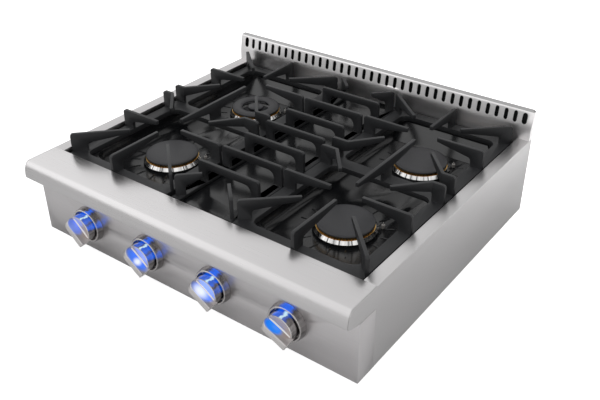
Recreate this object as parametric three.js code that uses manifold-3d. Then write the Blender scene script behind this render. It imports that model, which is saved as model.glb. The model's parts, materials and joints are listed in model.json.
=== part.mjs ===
// Professional 30-inch gas rangetop: steel casing with a bullnose front and a slotted back guard,
// a black enamel spill tray with two stamped wells, three cast-iron grates, four sealed burners,
// and four push-and-turn controls on a gas manifold. Millimetres, +Z up, the front faces -Y.
import * as THREE from 'three';
import { mergeVertices } from 'three/addons/utils/BufferGeometryUtils.js';
import Module from 'manifold-3d';

const wasm = await Module();
wasm.setup();

// ---------------------------------------------------------------- driving dimensions
// x runs across with 0 in the middle, y runs back from the front panel's face, z up from the base.
const WIDTH = 759;
const CASE_DEPTH = 638.4;
const RAIL_TOP = 168.6;
const SHEET = 1.2;
const SEAT_GAP = 0.3;
const OVERRUN = 1;

const RAIL_WIDTH = 25.6;
const LEDGE_DEPTH = 45.9;
const SIDE_SEAM_DEPTH = 45;
const PANEL_HEIGHT = 124.2;
const PANEL_RETURN = 18;
const PAN_RIM = 14;

const NOSE_REACH = 33.6;
const NOSE_FLAT_REACH = 20.5;
const NOSE_LIP_TOP = 137.8;
const NOSE_LIP_BOTTOM = 134.5;
const NOSE_HOOK = 14;
const NOSE_EDGE = 0.6;
const NOSE_TOP_PULL = 8;
const NOSE_TOP_DROP = 1;
const NOSE_FRONT_PULL = 14.2;
const NOSE_STEPS = 7;

const GUARD_DEPTH = 14.8;
const GUARD_RISE = 64.1;
const GUARD_BEND_RISE = 21.5;
const GUARD_LEAN = 7;
const GUARD_TOP_FLAT = 4.4;
const GUARD_TOP_ROUND = 3.6;
const GUARD_CORNER_RADIUS = 6;
const SLOT_COUNT = 37;
const SLOT_PITCH = 20.1;
const SLOT_WIDTH = 8.2;
const END_SLOT_WIDTH = 10.6;
const SLOT_HEIGHT = 24;
const SLOT_RISE = 44.5;

const LIP_DEPTH = 11;
const TRAY_DECK = 150;
const TRAY_SHEET = 1.5;
const TRAY_TUCK = 2.8;
const SHELF_DROP = 22;
const SHELF_WIDTH = 32;
const WELL_FLOOR = 120;
const WELL_INNER_X = 95;
const WELL_FRONT_Y = 86;
const WELL_BACK_Y = 602;
const WELL_CORNER = 34;
const WELL_ROUND = 16;
const WELL_ROUND_HEIGHT = 26;

const BURNER_OUTSET = 2;
const BURNER_FRONT_Y = 206;
const BURNER_REAR_Y = 478;

const GRATE_TOP = 199.5;
const GRATE_RAIL_CLEARANCE = 6.9;
const GRATE_INNER_X = 79;
const GRATE_FRONT_Y = 48.5;
const GRATE_BACK_Y = 621;
const GRATE_MIDDLE_X = 73;
const PLATE = 6.5;
const POST_WIDTH = 25;
const ARM_ROOT_DEPTH = 20;
const ARM_TIP_DEPTH = 8;
const POST_ROUND = 6;
const ARM_ROUND = 9;
const FRAME_HEIGHT = 10.7;
const FRAME_BAR = 25;
const FRAME_CORNER = 18;
const CROSS_BAR = 30;
const RUNNER_HEIGHT = 6;
const RUNNER_WIDTH = 20;
const RUNNER_END = 12;
const TIP_CLEARANCE = 33.5;
const DIAGONAL_TIP_X = 53;
const DIAGONAL_TIP_Y = 59;
const KNEE_EASE = 0.5;
const KNEE_STEPS = 10;
const ELBOW_REACH = 26;
const INNER_ELBOW_REACH = 36;
const CORNER_INNER_INSET = 22;
const CORNER_OUTER_INSET = 14.5;
const CORNER_ROOT_OUT = 2.5;
const CORNER_POST = 33;
const CORNER_BACK_INSET = 11;
const ELBOW_SPREAD = 19;
const ARCH_COUNT = 7;
const ARCH_PITCH = 67.5;
const ARCH_DEPTH = 15;
const ARCH_POST = 19;
const ARCH_ROUND = 13;
const BRACE_ROOT = 5;
const BRACE_REACH = 36;
const BRACE_FRONT_INSET = 20;
const BRACE_BACK_INSET = 6;

const CAP_RADIUS = 54;
const CAP_TOP = 140;
const CAP_EDGE = 3.2;
const HEAD_RADIUS = 57;
const HEAD_HEIGHT = 9;
const HEAD_EDGE = 2.2;
const PORT_RADIUS = 53;
const PORT_HEIGHT = 3.4;
const HEAD_BORE = 40;
const BASE_FLANGE_RADIUS = 54;
const BASE_FLANGE = 2.5;
const BASE_NECK_RADIUS = 36;
const BASE_MOUTH_RADIUS = 18;
const BASE_BOTTOM = 92;
const BASE_WALL = 3;
const BASE_NECK_HEIGHT = 12;
const BASE_BOWL_HEIGHT = 8;
const CAP_CHAMFER = 2;
const CAP_CROWN = 0.6;
const RING_CAP_BORE = 31;
const RING_CAP_SLOPE = 10;
const SIMMER_CAP_RADIUS = 18;
const SIMMER_CAP_HEIGHT = 6;
const SIMMER_NECK = 4;
const SIMMER_PLATE = 2;
const IGNITER_RADIUS = 3.6;
const IGNITER_SHANK = 16;
const IGNITER_OFFSET = 68;
const IGNITER_ANGLE = 38;
const IGNITER_TOP = 131;
const IGNITER_TIP = 3;
const IGNITER_TIP_RADIUS = 1.2;

const KNOB_END_MARGIN = 110.9;
const KNOB_HEIGHT = 62.5;
const KNOB_TURNS = [-42, -37, -32, -25];
const BEZEL_RADIUS = 36.5;
const BEZEL_RIM_RADIUS = 34;
const BEZEL_BORE = 31;
const BEZEL_REACH = 13.5;
const BEZEL_FLOOR = 1.8;
const BEZEL_EDGE = 1;
const SKIRT_RADIUS = 27.8;
const SKIRT_BACK = 6;
const SKIRT_FACE = 30;
const SKIRT_EDGE = 1.2;
const SKIRT_RIM = 3;
const SKIRT_DISH = 2.5;
const GRIP_REACH = 46.5;
const GRIP_ROOT = 4;
const GRIP_INSET = 1;
const GRIP_EDGE = 1.5;
const GRIP_WIDTH = 14;
const GRIP_TAIL_LENGTH = 29.5;
const GRIP_NOSE_ROUND = 13;
const STEM_RADIUS = 3;
const STEM_FLAT = 2.2;
const STEM_FIT = 0.3;
const KNOB_BORE_DEPTH = 16;
const STEM_HOLE_RADIUS = 6;

const VALVE_FRONT = 5;
const VALVE_COLLAR_RADIUS = 10;
const VALVE_COLLAR_LENGTH = 13;
const VALVE_BODY_WIDTH = 26;
const VALVE_BODY_HEIGHT = 30;
const VALVE_BODY_LENGTH = 18;
const PLUG_RADIUS = 6.5;
const PLUG_LENGTH = 11;
const PLUG_EDGE = 0.5;
const PLUG_SEAT_DEPTH = 6;
const MANIFOLD_RADIUS = 11;
const MANIFOLD_BORE = 8;
const MANIFOLD_HALF_LENGTH = 300;
const MANIFOLD_END = 6;
const FEED_X = 320;
const FEED_RADIUS = 9;
const FEED_STUB = 8;
const FEED_BEND = 14;
const FEED_RISE = 40;
const FEED_TAIL = 80;
const FEED_SIDES = 5;
const FEED_STEPS = 14;
const BRACKET_WIDTH = 30;
const BRACKET_X = 160;
const BRACKET_FOOT = 18;
const BRACKET_HEAD = 12;
const BRACKET_WEB = 4;
const BRACKET_SHEET = 3;
const TUBE_RADIUS = 4;
const TUBE_HEIGHT = 84;
const TUBE_SHIFT = 2;
const TUBE_RISE = 2;
const TUBE_BEND = 10;
const TUBE_BEND_RISE = 4;
const TUBE_START = 30;
const TUBE_END = 40;
const TUBE_SIDES = 4;
const TUBE_STEPS = 16;
const JET_RADIUS = 8;
const JET_HEIGHT = 14;
const JET_FLANGE = 2;
const REGULATOR_Y = 560;
const REGULATOR_RADIUS = 26;
const REGULATOR_HEIGHT = 30;
const INLET_RADIUS = 13;
const INLET_BORE = 9;
const INLET_BORE_DEPTH = 24;
const INLET_CLEARANCE = 2;
const REGULATOR_CUP = 8;
const REGULATOR_BAND = 2;
const REGULATOR_SHOULDER = 6;
const REGULATOR_NOSE = 12;
const REGULATOR_FOOT = 10;
const SPARK_LENGTH = 120;
const SPARK_DEPTH = 60;
const SPARK_HEIGHT = 34;
const TERMINAL = 4;

const ROUND_STEPS = 32;
const SMALL_STEPS = 16;
const FINE_STEPS = 12;
const HOLE_TOOL = 20;

// ---------------------------------------------------------------- derived places
const HALF = WIDTH / 2;
const INNER_HALF = HALF - SHEET;
const RAIL_INNER_X = HALF - RAIL_WIDTH;
const GRATE_OUTER_X = RAIL_INNER_X - GRATE_RAIL_CLEARANCE;
const WELL_OUTER_X = GRATE_OUTER_X - FRAME_BAR;
const BURNER_X = (GRATE_INNER_X + GRATE_OUTER_X) / 2 + BURNER_OUTSET;
const GUARD_FRONT_Y = CASE_DEPTH - GUARD_DEPTH;
const GUARD_TOP = RAIL_TOP + GUARD_RISE;
const LIP_BOTTOM = RAIL_TOP - LIP_DEPTH;
const MIDDLE_Y = (BURNER_FRONT_Y + BURNER_REAR_Y) / 2;
const BURNERS = [
  { name: 'front_left', x: -BURNER_X, y: BURNER_FRONT_Y, knob: 1 },
  { name: 'front_right', x: BURNER_X, y: BURNER_FRONT_Y, knob: 2 },
  { name: 'rear_right', x: BURNER_X, y: BURNER_REAR_Y, knob: 3 },
  { name: 'rear_left', x: -BURNER_X, y: BURNER_REAR_Y, knob: 0 },
];
const KNOB_PITCH = (RAIL_INNER_X - KNOB_END_MARGIN) / 1.5;
const KNOB_XS = [-1.5, -0.5, 0.5, 1.5].map((step) => step * KNOB_PITCH);
const GRATE_FOOT = TRAY_DECK + SEAT_GAP;
const HEAD_BOTTOM = WELL_FLOOR + BASE_FLANGE + SEAT_GAP;
const PORT_TOP = HEAD_BOTTOM + HEAD_HEIGHT + PORT_HEIGHT;
const CAP_BOTTOM = PORT_TOP + SEAT_GAP;
const VALVE_BODY_Y = VALVE_FRONT + VALVE_COLLAR_LENGTH;
const MANIFOLD_Y = VALVE_BODY_Y + VALVE_BODY_LENGTH + SEAT_GAP + MANIFOLD_RADIUS;
const KNOB_FRONT_Y = -GRIP_REACH;
const PAN_TOP = (SHEET + SEAT_GAP) * 2;

// ---------------------------------------------------------------- finishes
const finish = (color, metalness, roughness) => new THREE.MeshStandardMaterial({ color, metalness, roughness });
const stainless = finish(0xc9c8c9, 1, 0.34);
const galvanised = finish(0x9fa3a6, 0.9, 0.5);
const enamel = finish(0x121315, 0, 0.12);
const castIron = finish(0x2b2c2e, 0.2, 0.6);
const capEnamel = finish(0x3d3e40, 0.1, 0.5);
const polishedSteel = finish(0xd8d9db, 1, 0.15);
const brass = finish(0xb08a45, 1, 0.3);
const aluminium = finish(0xa9abad, 1, 0.45);
const ceramic = finish(0xe8e4dc, 0, 0.5);
const plastic = finish(0x1d1d20, 0, 0.5);

// ---------------------------------------------------------------- modelling helpers
// Corners are kept to a thousandth of a millimetre, so that faces meant to line up do.
const MICRON = 1000;

function solid(geometry) {
  const bare = geometry.clone();
  bare.deleteAttribute('normal');
  bare.deleteAttribute('uv');
  const merged = mergeVertices(bare, 1e-4);
  const places = merged.attributes.position.array.map((value) => Math.round(value * MICRON) / MICRON);
  return new wasm.Manifold(new wasm.Mesh({
    numProp: 3,
    vertProperties: new Float32Array(places),
    triVerts: new Uint32Array(merged.index.array),
  }));
}

const join = (parts) => parts.reduce((sum, part) => sum.add(part));
const cut = (body, tools) => tools.reduce((rest, tool) => rest.subtract(tool), body);

function box(x0, x1, y0, y1, z0, z1) {
  const geometry = new THREE.BoxGeometry(x1 - x0, y1 - y0, z1 - z0);
  return solid(geometry.translate((x0 + x1) / 2, (y0 + y1) / 2, (z0 + z1) / 2));
}

function polygon(points) {
  return new THREE.Shape(points.map(([a, b]) => new THREE.Vector2(a, b)));
}

function extruded(shape, depth, options = {}) {
  return new THREE.ExtrudeGeometry(shape, { depth, bevelEnabled: false, curveSegments: 4, ...options });
}

// A section drawn in (y, z) and swept along x.
function prismX(shape, x0, x1) {
  const toX = new THREE.Matrix4().makeBasis(
    new THREE.Vector3(0, 1, 0), new THREE.Vector3(0, 0, 1), new THREE.Vector3(1, 0, 0));
  return solid(extruded(shape, x1 - x0).applyMatrix4(toX).translate(x0, 0, 0));
}

// A section drawn in (x, z) and swept along y.
function prismY(shape, y0, y1) {
  return solid(extruded(shape, y1 - y0).rotateX(Math.PI / 2).translate(0, y1, 0));
}

// A section drawn in (x, y) and swept along z.
function prismZ(shape, z0, z1) {
  return solid(extruded(shape, z1 - z0).translate(0, 0, z0));
}

// A body turned round a vertical axis, from [radius, height] points.
function turned(points, steps = ROUND_STEPS) {
  return new THREE.LatheGeometry(points.map(([r, h]) => new THREE.Vector2(r, h)), steps).rotateX(Math.PI / 2);
}

// A body turned round an axis that leaves the front panel, from [radius, reach] points.
function turnedOut(points, steps = ROUND_STEPS) {
  return new THREE.LatheGeometry(points.map(([r, h]) => new THREE.Vector2(r, h)), steps).rotateX(Math.PI);
}

// A sheet-metal section: the outline and its copy moved inwards by the sheet's thickness.
function sheetSection(outline, thickness) {
  const inner = outline.map(([a, b], i) => {
    const [pa, pb] = outline[Math.max(i - 1, 0)];
    const [na, nb] = outline[Math.min(i + 1, outline.length - 1)];
    const before = new THREE.Vector2(a - pa, b - pb);
    const after = new THREE.Vector2(na - a, nb - b);
    const first = before.lengthSq() > 0 ? before.normalize() : after.clone().normalize();
    const last = after.lengthSq() > 0 ? after.normalize() : first.clone();
    const normal = new THREE.Vector2(-first.y - last.y, first.x + last.x).normalize();
    const reach = thickness / (normal.x * -first.y + normal.y * first.x);
    return [a + normal.x * reach, b + normal.y * reach];
  });
  return polygon([...outline, ...inner.reverse()]);
}

function roundedRectangle(x0, x1, y0, y1, radius) {
  const shape = new THREE.Shape();
  shape.moveTo(x0 + radius, y0);
  shape.lineTo(x1 - radius, y0);
  shape.absarc(x1 - radius, y0 + radius, radius, -Math.PI / 2, 0);
  shape.lineTo(x1, y1 - radius);
  shape.absarc(x1 - radius, y1 - radius, radius, 0, Math.PI / 2);
  shape.lineTo(x0 + radius, y1);
  shape.absarc(x0 + radius, y1 - radius, radius, Math.PI / 2, Math.PI);
  shape.lineTo(x0, y0 + radius);
  shape.absarc(x0 + radius, y0 + radius, radius, Math.PI, Math.PI * 1.5);
  return shape;
}

function geometryOf(body) {
  const source = body.getMesh();
  const geometry = new THREE.BufferGeometry();
  geometry.setAttribute('position', new THREE.BufferAttribute(source.vertProperties, 3));
  geometry.setIndex(new THREE.BufferAttribute(source.triVerts, 1));
  return geometry;
}

const group = new THREE.Group();

function add(name, body, material) {
  const mesh = new THREE.Mesh(geometryOf(body.simplify(1 / MICRON)), material);
  mesh.name = name;
  group.add(mesh);
}

// ---------------------------------------------------------------- casing
function nosePoints() {
  const curve = new THREE.CubicBezierCurve(
    new THREE.Vector2(-NOSE_FLAT_REACH, RAIL_TOP),
    new THREE.Vector2(-NOSE_FLAT_REACH - NOSE_TOP_PULL, RAIL_TOP - NOSE_TOP_DROP),
    new THREE.Vector2(-NOSE_REACH, NOSE_LIP_TOP + NOSE_FRONT_PULL),
    new THREE.Vector2(-NOSE_REACH, NOSE_LIP_TOP),
  );
  return curve.getPoints(NOSE_STEPS).map((point) => [point.x, point.y]);
}

function sidePanel(side) {
  const outer = side * HALF;
  const wall = polygon([
    [SIDE_SEAM_DEPTH + SEAT_GAP, 0],
    [CASE_DEPTH, 0],
    [CASE_DEPTH, RAIL_TOP],
    ...nosePoints(),
    [-NOSE_REACH + NOSE_EDGE, NOSE_LIP_BOTTOM],
    [0, PANEL_HEIGHT + SEAT_GAP],
    [SIDE_SEAM_DEPTH + SEAT_GAP, PANEL_HEIGHT + SEAT_GAP],
  ]);
  const flange = sheetSection(side > 0 ? [
    [HALF, RAIL_TOP],
    [RAIL_INNER_X, RAIL_TOP],
    [RAIL_INNER_X, LIP_BOTTOM],
  ] : [
    [-RAIL_INNER_X, LIP_BOTTOM],
    [-RAIL_INNER_X, RAIL_TOP],
    [-HALF, RAIL_TOP],
  ], SHEET);
  const innerX = side * (INNER_HALF - PANEL_RETURN);
  return join([
    prismX(wall, Math.min(outer, outer - side * SHEET), Math.max(outer, outer - side * SHEET)),
    prismY(flange, LEDGE_DEPTH + SEAT_GAP, CASE_DEPTH - SHEET - SEAT_GAP),
    box(Math.min(innerX, outer), Math.max(innerX, outer), SIDE_SEAM_DEPTH + SEAT_GAP, CASE_DEPTH, 0, SHEET),
  ]);
}

// One sheet: a hook behind the front panel, the underside, the rolled nose, the ledge and the well's lip.
function bullnose() {
  const hook = SHEET + SEAT_GAP;
  const section = sheetSection([
    [hook, PANEL_HEIGHT - NOSE_HOOK],
    [hook, PANEL_HEIGHT + SEAT_GAP],
    [-NOSE_REACH + NOSE_EDGE, NOSE_LIP_BOTTOM],
    ...nosePoints().reverse(),
    [LEDGE_DEPTH, RAIL_TOP],
    [LEDGE_DEPTH, LIP_BOTTOM],
  ], -SHEET);
  const span = INNER_HALF - SEAT_GAP;
  return prismX(section, -span, span);
}

function frontPanel() {
  const face = polygon([[-HALF, 0], [HALF, 0], [HALF, PANEL_HEIGHT], [-HALF, PANEL_HEIGHT]]);
  for (const x of KNOB_XS) {
    const hole = new THREE.Path();
    hole.absarc(x, KNOB_HEIGHT, STEM_HOLE_RADIUS, 0, Math.PI * 2, true);
    face.holes.push(hole);
  }
  const plate = prismY(face, 0, SHEET);
  const returns = [-1, 1].map((side) => box(
    Math.min(side * HALF, side * INNER_HALF), Math.max(side * HALF, side * INNER_HALF),
    0, SIDE_SEAM_DEPTH, 0, PANEL_HEIGHT));
  const sill = box(-HALF, HALF, 0, PANEL_RETURN, 0, SHEET);
  return join([plate, ...returns, sill]);
}

function bottomPan() {
  const x = INNER_HALF - SEAT_GAP;
  const y0 = SHEET + SEAT_GAP;
  const y1 = CASE_DEPTH - SHEET - SEAT_GAP;
  const z0 = SHEET + SEAT_GAP;
  const outer = box(-x, x, y0, y1, z0, z0 + PAN_RIM);
  const inner = box(-x + SHEET, x - SHEET, y0 + SHEET, y1 - SHEET, z0 + SHEET, z0 + PAN_RIM + OVERRUN);
  return outer.subtract(inner);
}

function rearPanel() {
  const x = INNER_HALF - SEAT_GAP;
  const face = polygon([[-x, SHEET + SEAT_GAP], [x, SHEET + SEAT_GAP],
    [x, RAIL_TOP], [-x, RAIL_TOP]]);
  const hole = new THREE.Path();
  hole.absarc(FEED_X, KNOB_HEIGHT, INLET_RADIUS + INLET_CLEARANCE, 0, Math.PI * 2, true);
  face.holes.push(hole);
  return prismY(face, CASE_DEPTH - SHEET, CASE_DEPTH);
}

function guardSection(inset, bottom) {
  const front = GUARD_FRONT_Y + inset;
  const bend = RAIL_TOP + GUARD_BEND_RISE;
  const top = GUARD_TOP - inset;
  const back = CASE_DEPTH - inset;
  const flat = CASE_DEPTH - GUARD_TOP_FLAT;
  return polygon([
    [front, bottom],
    [front, bend],
    [front + GUARD_LEAN, GUARD_TOP - GUARD_TOP_ROUND],
    [Math.min(flat, back - OVERRUN), top],
    [back, top],
    [back, bottom],
  ]);
}

function backguard() {
  const base = RAIL_TOP;
  const shell = prismX(guardSection(0, base), -HALF, HALF);
  const hollow = prismX(guardSection(SHEET, base - OVERRUN), -INNER_HALF, INNER_HALF);
  const apron = box(-RAIL_INNER_X + SEAT_GAP, RAIL_INNER_X - SEAT_GAP,
    GUARD_FRONT_Y, GUARD_FRONT_Y + SHEET, LIP_BOTTOM, base + OVERRUN);
  const corners = prismY(
    roundedRectangle(-HALF, HALF, 0, GUARD_TOP, GUARD_CORNER_RADIUS), 0, CASE_DEPTH + OVERRUN);
  const first = -SLOT_PITCH * (SLOT_COUNT - 1) / 2;
  const middle = RAIL_TOP + SLOT_RISE;
  const slots = [];
  for (let i = 0; i < SLOT_COUNT; i += 1) {
    const x = first + i * SLOT_PITCH;
    const half = (i === 0 || i === SLOT_COUNT - 1 ? END_SLOT_WIDTH : SLOT_WIDTH) / 2;
    const slot = new THREE.Shape();
    slot.absarc(x, middle + SLOT_HEIGHT / 2 - half, half, 0, Math.PI);
    slot.absarc(x, middle - SLOT_HEIGHT / 2 + half, half, Math.PI, Math.PI * 2);
    const geometry = extruded(slot, GUARD_DEPTH - SHEET, { curveSegments: 2 });
    slots.push(solid(geometry.rotateX(Math.PI / 2).translate(0, CASE_DEPTH - SHEET * 2, 0)));
  }
  return cut(join([shell.subtract(hollow), apron]).intersect(corners), slots);
}

// ---------------------------------------------------------------- spill tray
// The space of one stamped well, which holds a front and a rear burner, or that of its sheet's outside.
function wellTool(side, grow) {
  const x0 = side > 0 ? WELL_INNER_X : -WELL_OUTER_X;
  const x1 = side > 0 ? WELL_OUTER_X : -WELL_INNER_X;
  const inset = WELL_ROUND - grow;
  const shape = roundedRectangle(
    x0 + inset, x1 - inset, WELL_FRONT_Y + inset, WELL_BACK_Y - inset, WELL_CORNER - WELL_ROUND + grow);
  const floor = WELL_FLOOR - grow;
  const above = TRAY_DECK + WELL_ROUND_HEIGHT * 2 - floor;
  const geometry = extruded(shape, above, {
    bevelEnabled: true, bevelSize: WELL_ROUND, bevelThickness: WELL_ROUND_HEIGHT, bevelSegments: 3, curveSegments: 3,
  });
  return solid(geometry.translate(0, 0, floor + WELL_ROUND_HEIGHT));
}

function spillTray() {
  const x = RAIL_INNER_X + TRAY_TUCK;
  const y0 = LEDGE_DEPTH - TRAY_TUCK;
  const y1 = GUARD_FRONT_Y + TRAY_TUCK;
  const under = TRAY_DECK - TRAY_SHEET;
  const deck = box(-x, x, y0, y1, under, LIP_BOTTOM - SEAT_GAP).subtract(
    box(-x + SHEET, x - SHEET, y0 + SHEET, y1 - SHEET, TRAY_DECK, RAIL_TOP));
  const below = box(-x, x, y0, y1, 0, TRAY_DECK);
  const shells = join([wellTool(-1, TRAY_SHEET), wellTool(1, TRAY_SHEET)]).intersect(below);
  const holes = [];
  for (const burner of BURNERS) {
    const hole = new THREE.CylinderGeometry(
      BASE_NECK_RADIUS + OVERRUN, BASE_NECK_RADIUS + OVERRUN, HOLE_TOOL, ROUND_STEPS);
    holes.push(solid(hole.rotateX(Math.PI / 2).translate(burner.x, burner.y, WELL_FLOOR)));
    const seat = new THREE.CylinderGeometry(
      IGNITER_RADIUS + SEAT_GAP, IGNITER_RADIUS + SEAT_GAP, HOLE_TOOL, FINE_STEPS);
    const [dx, dy] = igniterOffset();
    holes.push(solid(seat.rotateX(Math.PI / 2).translate(burner.x + dx, burner.y + dy, WELL_FLOOR)));
  }
  return cut(join([deck, shells]), [wellTool(-1, 0), wellTool(1, 0), ...holes]);
}

// The shelf along each side panel that carries the tray's edge.
function trayShelf(side) {
  const top = TRAY_DECK - TRAY_SHEET - SEAT_GAP;
  const outer = INNER_HALF - SEAT_GAP;
  const section = sheetSection(side > 0 ? [
    [outer - SHELF_WIDTH, top], [outer, top], [outer, top - SHELF_DROP],
  ] : [
    [-outer, top - SHELF_DROP], [-outer, top], [-outer + SHELF_WIDTH, top],
  ], -SHEET);
  return prismY(section, LEDGE_DEPTH, GUARD_FRONT_Y);
}

// ---------------------------------------------------------------- grates
// A finger stands on a post at its outer end and reaches in to its tip.
// root and tip are [x, y]; the section is drawn along the finger.
function finger(root, tip, postWidth = POST_WIDTH) {
  const along = new THREE.Vector3(tip[0] - root[0], tip[1] - root[1], 0);
  const length = along.length();
  along.normalize();
  const shape = new THREE.Shape();
  const rootUnder = GRATE_TOP - ARM_ROOT_DEPTH;
  shape.moveTo(0, GRATE_FOOT);
  shape.lineTo(0, GRATE_TOP - POST_ROUND);
  shape.absarc(POST_ROUND, GRATE_TOP - POST_ROUND, POST_ROUND, Math.PI, Math.PI / 2, true);
  shape.lineTo(length, GRATE_TOP);
  shape.lineTo(length, GRATE_TOP - ARM_TIP_DEPTH);
  shape.lineTo(postWidth + ARM_ROUND, rootUnder);
  shape.quadraticCurveTo(postWidth, rootUnder, postWidth, rootUnder - ARM_ROUND);
  shape.lineTo(postWidth, GRATE_FOOT);
  return plateAlong(shape, root, along);
}

function plateAlong(shape, root, along) {
  const across = new THREE.Vector3().crossVectors(along, new THREE.Vector3(0, 0, 1));
  const turn = new THREE.Matrix4().makeBasis(along, new THREE.Vector3(0, 0, 1), across);
  const geometry = extruded(shape, PLATE, { curveSegments: 3 });
  return solid(geometry.translate(0, 0, -PLATE / 2).applyMatrix4(turn).translate(root[0], root[1], 0));
}

// The bent fingers leave their post squarely and turn in towards the burner.
function bentFinger(root, elbow, tip) {
  const stub = new THREE.Vector3(elbow[0] - root[0], elbow[1] - root[1], 0);
  const reach = stub.length();
  stub.normalize();
  const rootUnder = GRATE_TOP - ARM_ROOT_DEPTH;
  const inner = Math.min(POST_WIDTH, reach) - KNEE_EASE;
  const post = new THREE.Shape();
  post.moveTo(0, GRATE_FOOT);
  post.lineTo(0, GRATE_TOP - POST_ROUND);
  post.absarc(POST_ROUND, GRATE_TOP - POST_ROUND, POST_ROUND, Math.PI, Math.PI / 2, true);
  post.lineTo(reach, GRATE_TOP);
  post.lineTo(reach, rootUnder);
  post.lineTo(inner, rootUnder - ARM_ROUND / 2);
  post.lineTo(inner, GRATE_FOOT);
  const arm = new THREE.Vector3(tip[0] - elbow[0], tip[1] - elbow[1], 0);
  const length = arm.length();
  arm.normalize();
  const section = polygon([
    [0, GRATE_TOP], [length, GRATE_TOP], [length, GRATE_TOP - ARM_TIP_DEPTH], [0, rootUnder]]);
  const knee = new THREE.CylinderGeometry(PLATE / 2, PLATE / 2, ARM_ROOT_DEPTH, KNEE_STEPS).rotateX(Math.PI / 2);
  knee.translate(elbow[0], elbow[1], GRATE_TOP - ARM_ROOT_DEPTH / 2);
  return join([plateAlong(post, root, stub), plateAlong(section, elbow, arm), solid(knee)]);
}

function sideGrate(side) {
  const at = (x, y) => [side * x, y];
  const ordered = (a, b) => [Math.min(side * a, side * b), Math.max(side * a, side * b)];
  const frame = roundedRectangle(
    ...ordered(GRATE_INNER_X, GRATE_OUTER_X), GRATE_FRONT_Y, GRATE_BACK_Y, FRAME_CORNER / 2);
  const half = CROSS_BAR / 2;
  const windows = [[GRATE_FRONT_Y + FRAME_BAR, MIDDLE_Y - half], [MIDDLE_Y + half, GRATE_BACK_Y - FRAME_BAR]];
  for (const [y0, y1] of windows) {
    const [x0, x1] = ordered(GRATE_INNER_X + FRAME_BAR, GRATE_OUTER_X - FRAME_BAR);
    frame.holes.push(roundedRectangle(x0, x1, y0, y1, FRAME_CORNER));
  }
  const parts = [prismZ(frame, GRATE_FOOT, GRATE_FOOT + FRAME_HEIGHT)];
  for (const [burnerY, out] of [[BURNER_FRONT_Y, -1], [BURNER_REAR_Y, 1]]) {
    const edgeY = out < 0 ? GRATE_FRONT_Y : GRATE_BACK_Y;
    const outerY = out < 0 ? GRATE_FRONT_Y + CORNER_OUTER_INSET : GRATE_BACK_Y - CORNER_BACK_INSET;
    const innerY = out < 0 ? GRATE_FRONT_Y + CORNER_INNER_INSET : GRATE_BACK_Y - CORNER_BACK_INSET;
    const outerX = out < 0 ? GRATE_OUTER_X + CORNER_ROOT_OUT : GRATE_OUTER_X;
    const outerPost = out < 0 ? CORNER_POST : POST_WIDTH;
    const outerTip = BURNER_X + DIAGONAL_TIP_X;
    const innerTip = BURNER_X - DIAGONAL_TIP_X;
    const elbowY = MIDDLE_Y + out * ELBOW_SPREAD;
    parts.push(
      finger(at(GRATE_OUTER_X, burnerY), at(BURNER_X + TIP_CLEARANCE, burnerY)),
      finger(at(GRATE_INNER_X, burnerY), at(BURNER_X - TIP_CLEARANCE, burnerY)),
      finger(at(BURNER_X, edgeY), at(BURNER_X, burnerY + out * TIP_CLEARANCE)),
      finger(at(outerX, outerY), at(outerTip, burnerY + out * DIAGONAL_TIP_Y), outerPost),
      finger(at(GRATE_INNER_X, innerY), at(innerTip, burnerY + out * DIAGONAL_TIP_Y)),
      bentFinger(at(GRATE_OUTER_X, elbowY), at(GRATE_OUTER_X - ELBOW_REACH, elbowY),
        at(outerTip, burnerY - out * DIAGONAL_TIP_Y)),
      bentFinger(at(GRATE_INNER_X, elbowY), at(GRATE_INNER_X + INNER_ELBOW_REACH, elbowY),
        at(innerTip, burnerY - out * DIAGONAL_TIP_Y)),
    );
  }
  const bar = polygon([
    [BURNER_FRONT_Y + TIP_CLEARANCE, GRATE_TOP],
    [BURNER_FRONT_Y + TIP_CLEARANCE, GRATE_TOP - ARM_TIP_DEPTH],
    [MIDDLE_Y - half, GRATE_TOP - ARM_ROOT_DEPTH],
    [MIDDLE_Y - half, GRATE_FOOT],
    [MIDDLE_Y + half, GRATE_FOOT],
    [MIDDLE_Y + half, GRATE_TOP - ARM_ROOT_DEPTH],
    [BURNER_REAR_Y - TIP_CLEARANCE, GRATE_TOP - ARM_TIP_DEPTH],
    [BURNER_REAR_Y - TIP_CLEARANCE, GRATE_TOP],
  ]);
  parts.push(prismX(bar, side * BURNER_X - PLATE / 2, side * BURNER_X + PLATE / 2));
  return join(parts);
}

function archSection() {
  const x = GRATE_MIDDLE_X;
  const inner = x - ARCH_POST;
  const under = GRATE_TOP - ARCH_DEPTH;
  const shape = new THREE.Shape();
  shape.moveTo(-x, GRATE_FOOT);
  shape.lineTo(-inner, GRATE_FOOT);
  shape.lineTo(-inner, under - ARCH_ROUND);
  shape.absarc(-inner + ARCH_ROUND, under - ARCH_ROUND, ARCH_ROUND, Math.PI, Math.PI / 2, true);
  shape.lineTo(inner - ARCH_ROUND, under);
  shape.absarc(inner - ARCH_ROUND, under - ARCH_ROUND, ARCH_ROUND, Math.PI / 2, 0, true);
  shape.lineTo(inner, GRATE_FOOT);
  shape.lineTo(x, GRATE_FOOT);
  shape.lineTo(x, GRATE_TOP - POST_ROUND);
  shape.absarc(x - POST_ROUND, GRATE_TOP - POST_ROUND, POST_ROUND, 0, Math.PI / 2);
  shape.lineTo(-x + POST_ROUND, GRATE_TOP);
  shape.absarc(-x + POST_ROUND, GRATE_TOP - POST_ROUND, POST_ROUND, Math.PI / 2, Math.PI);
  return shape;
}

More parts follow.
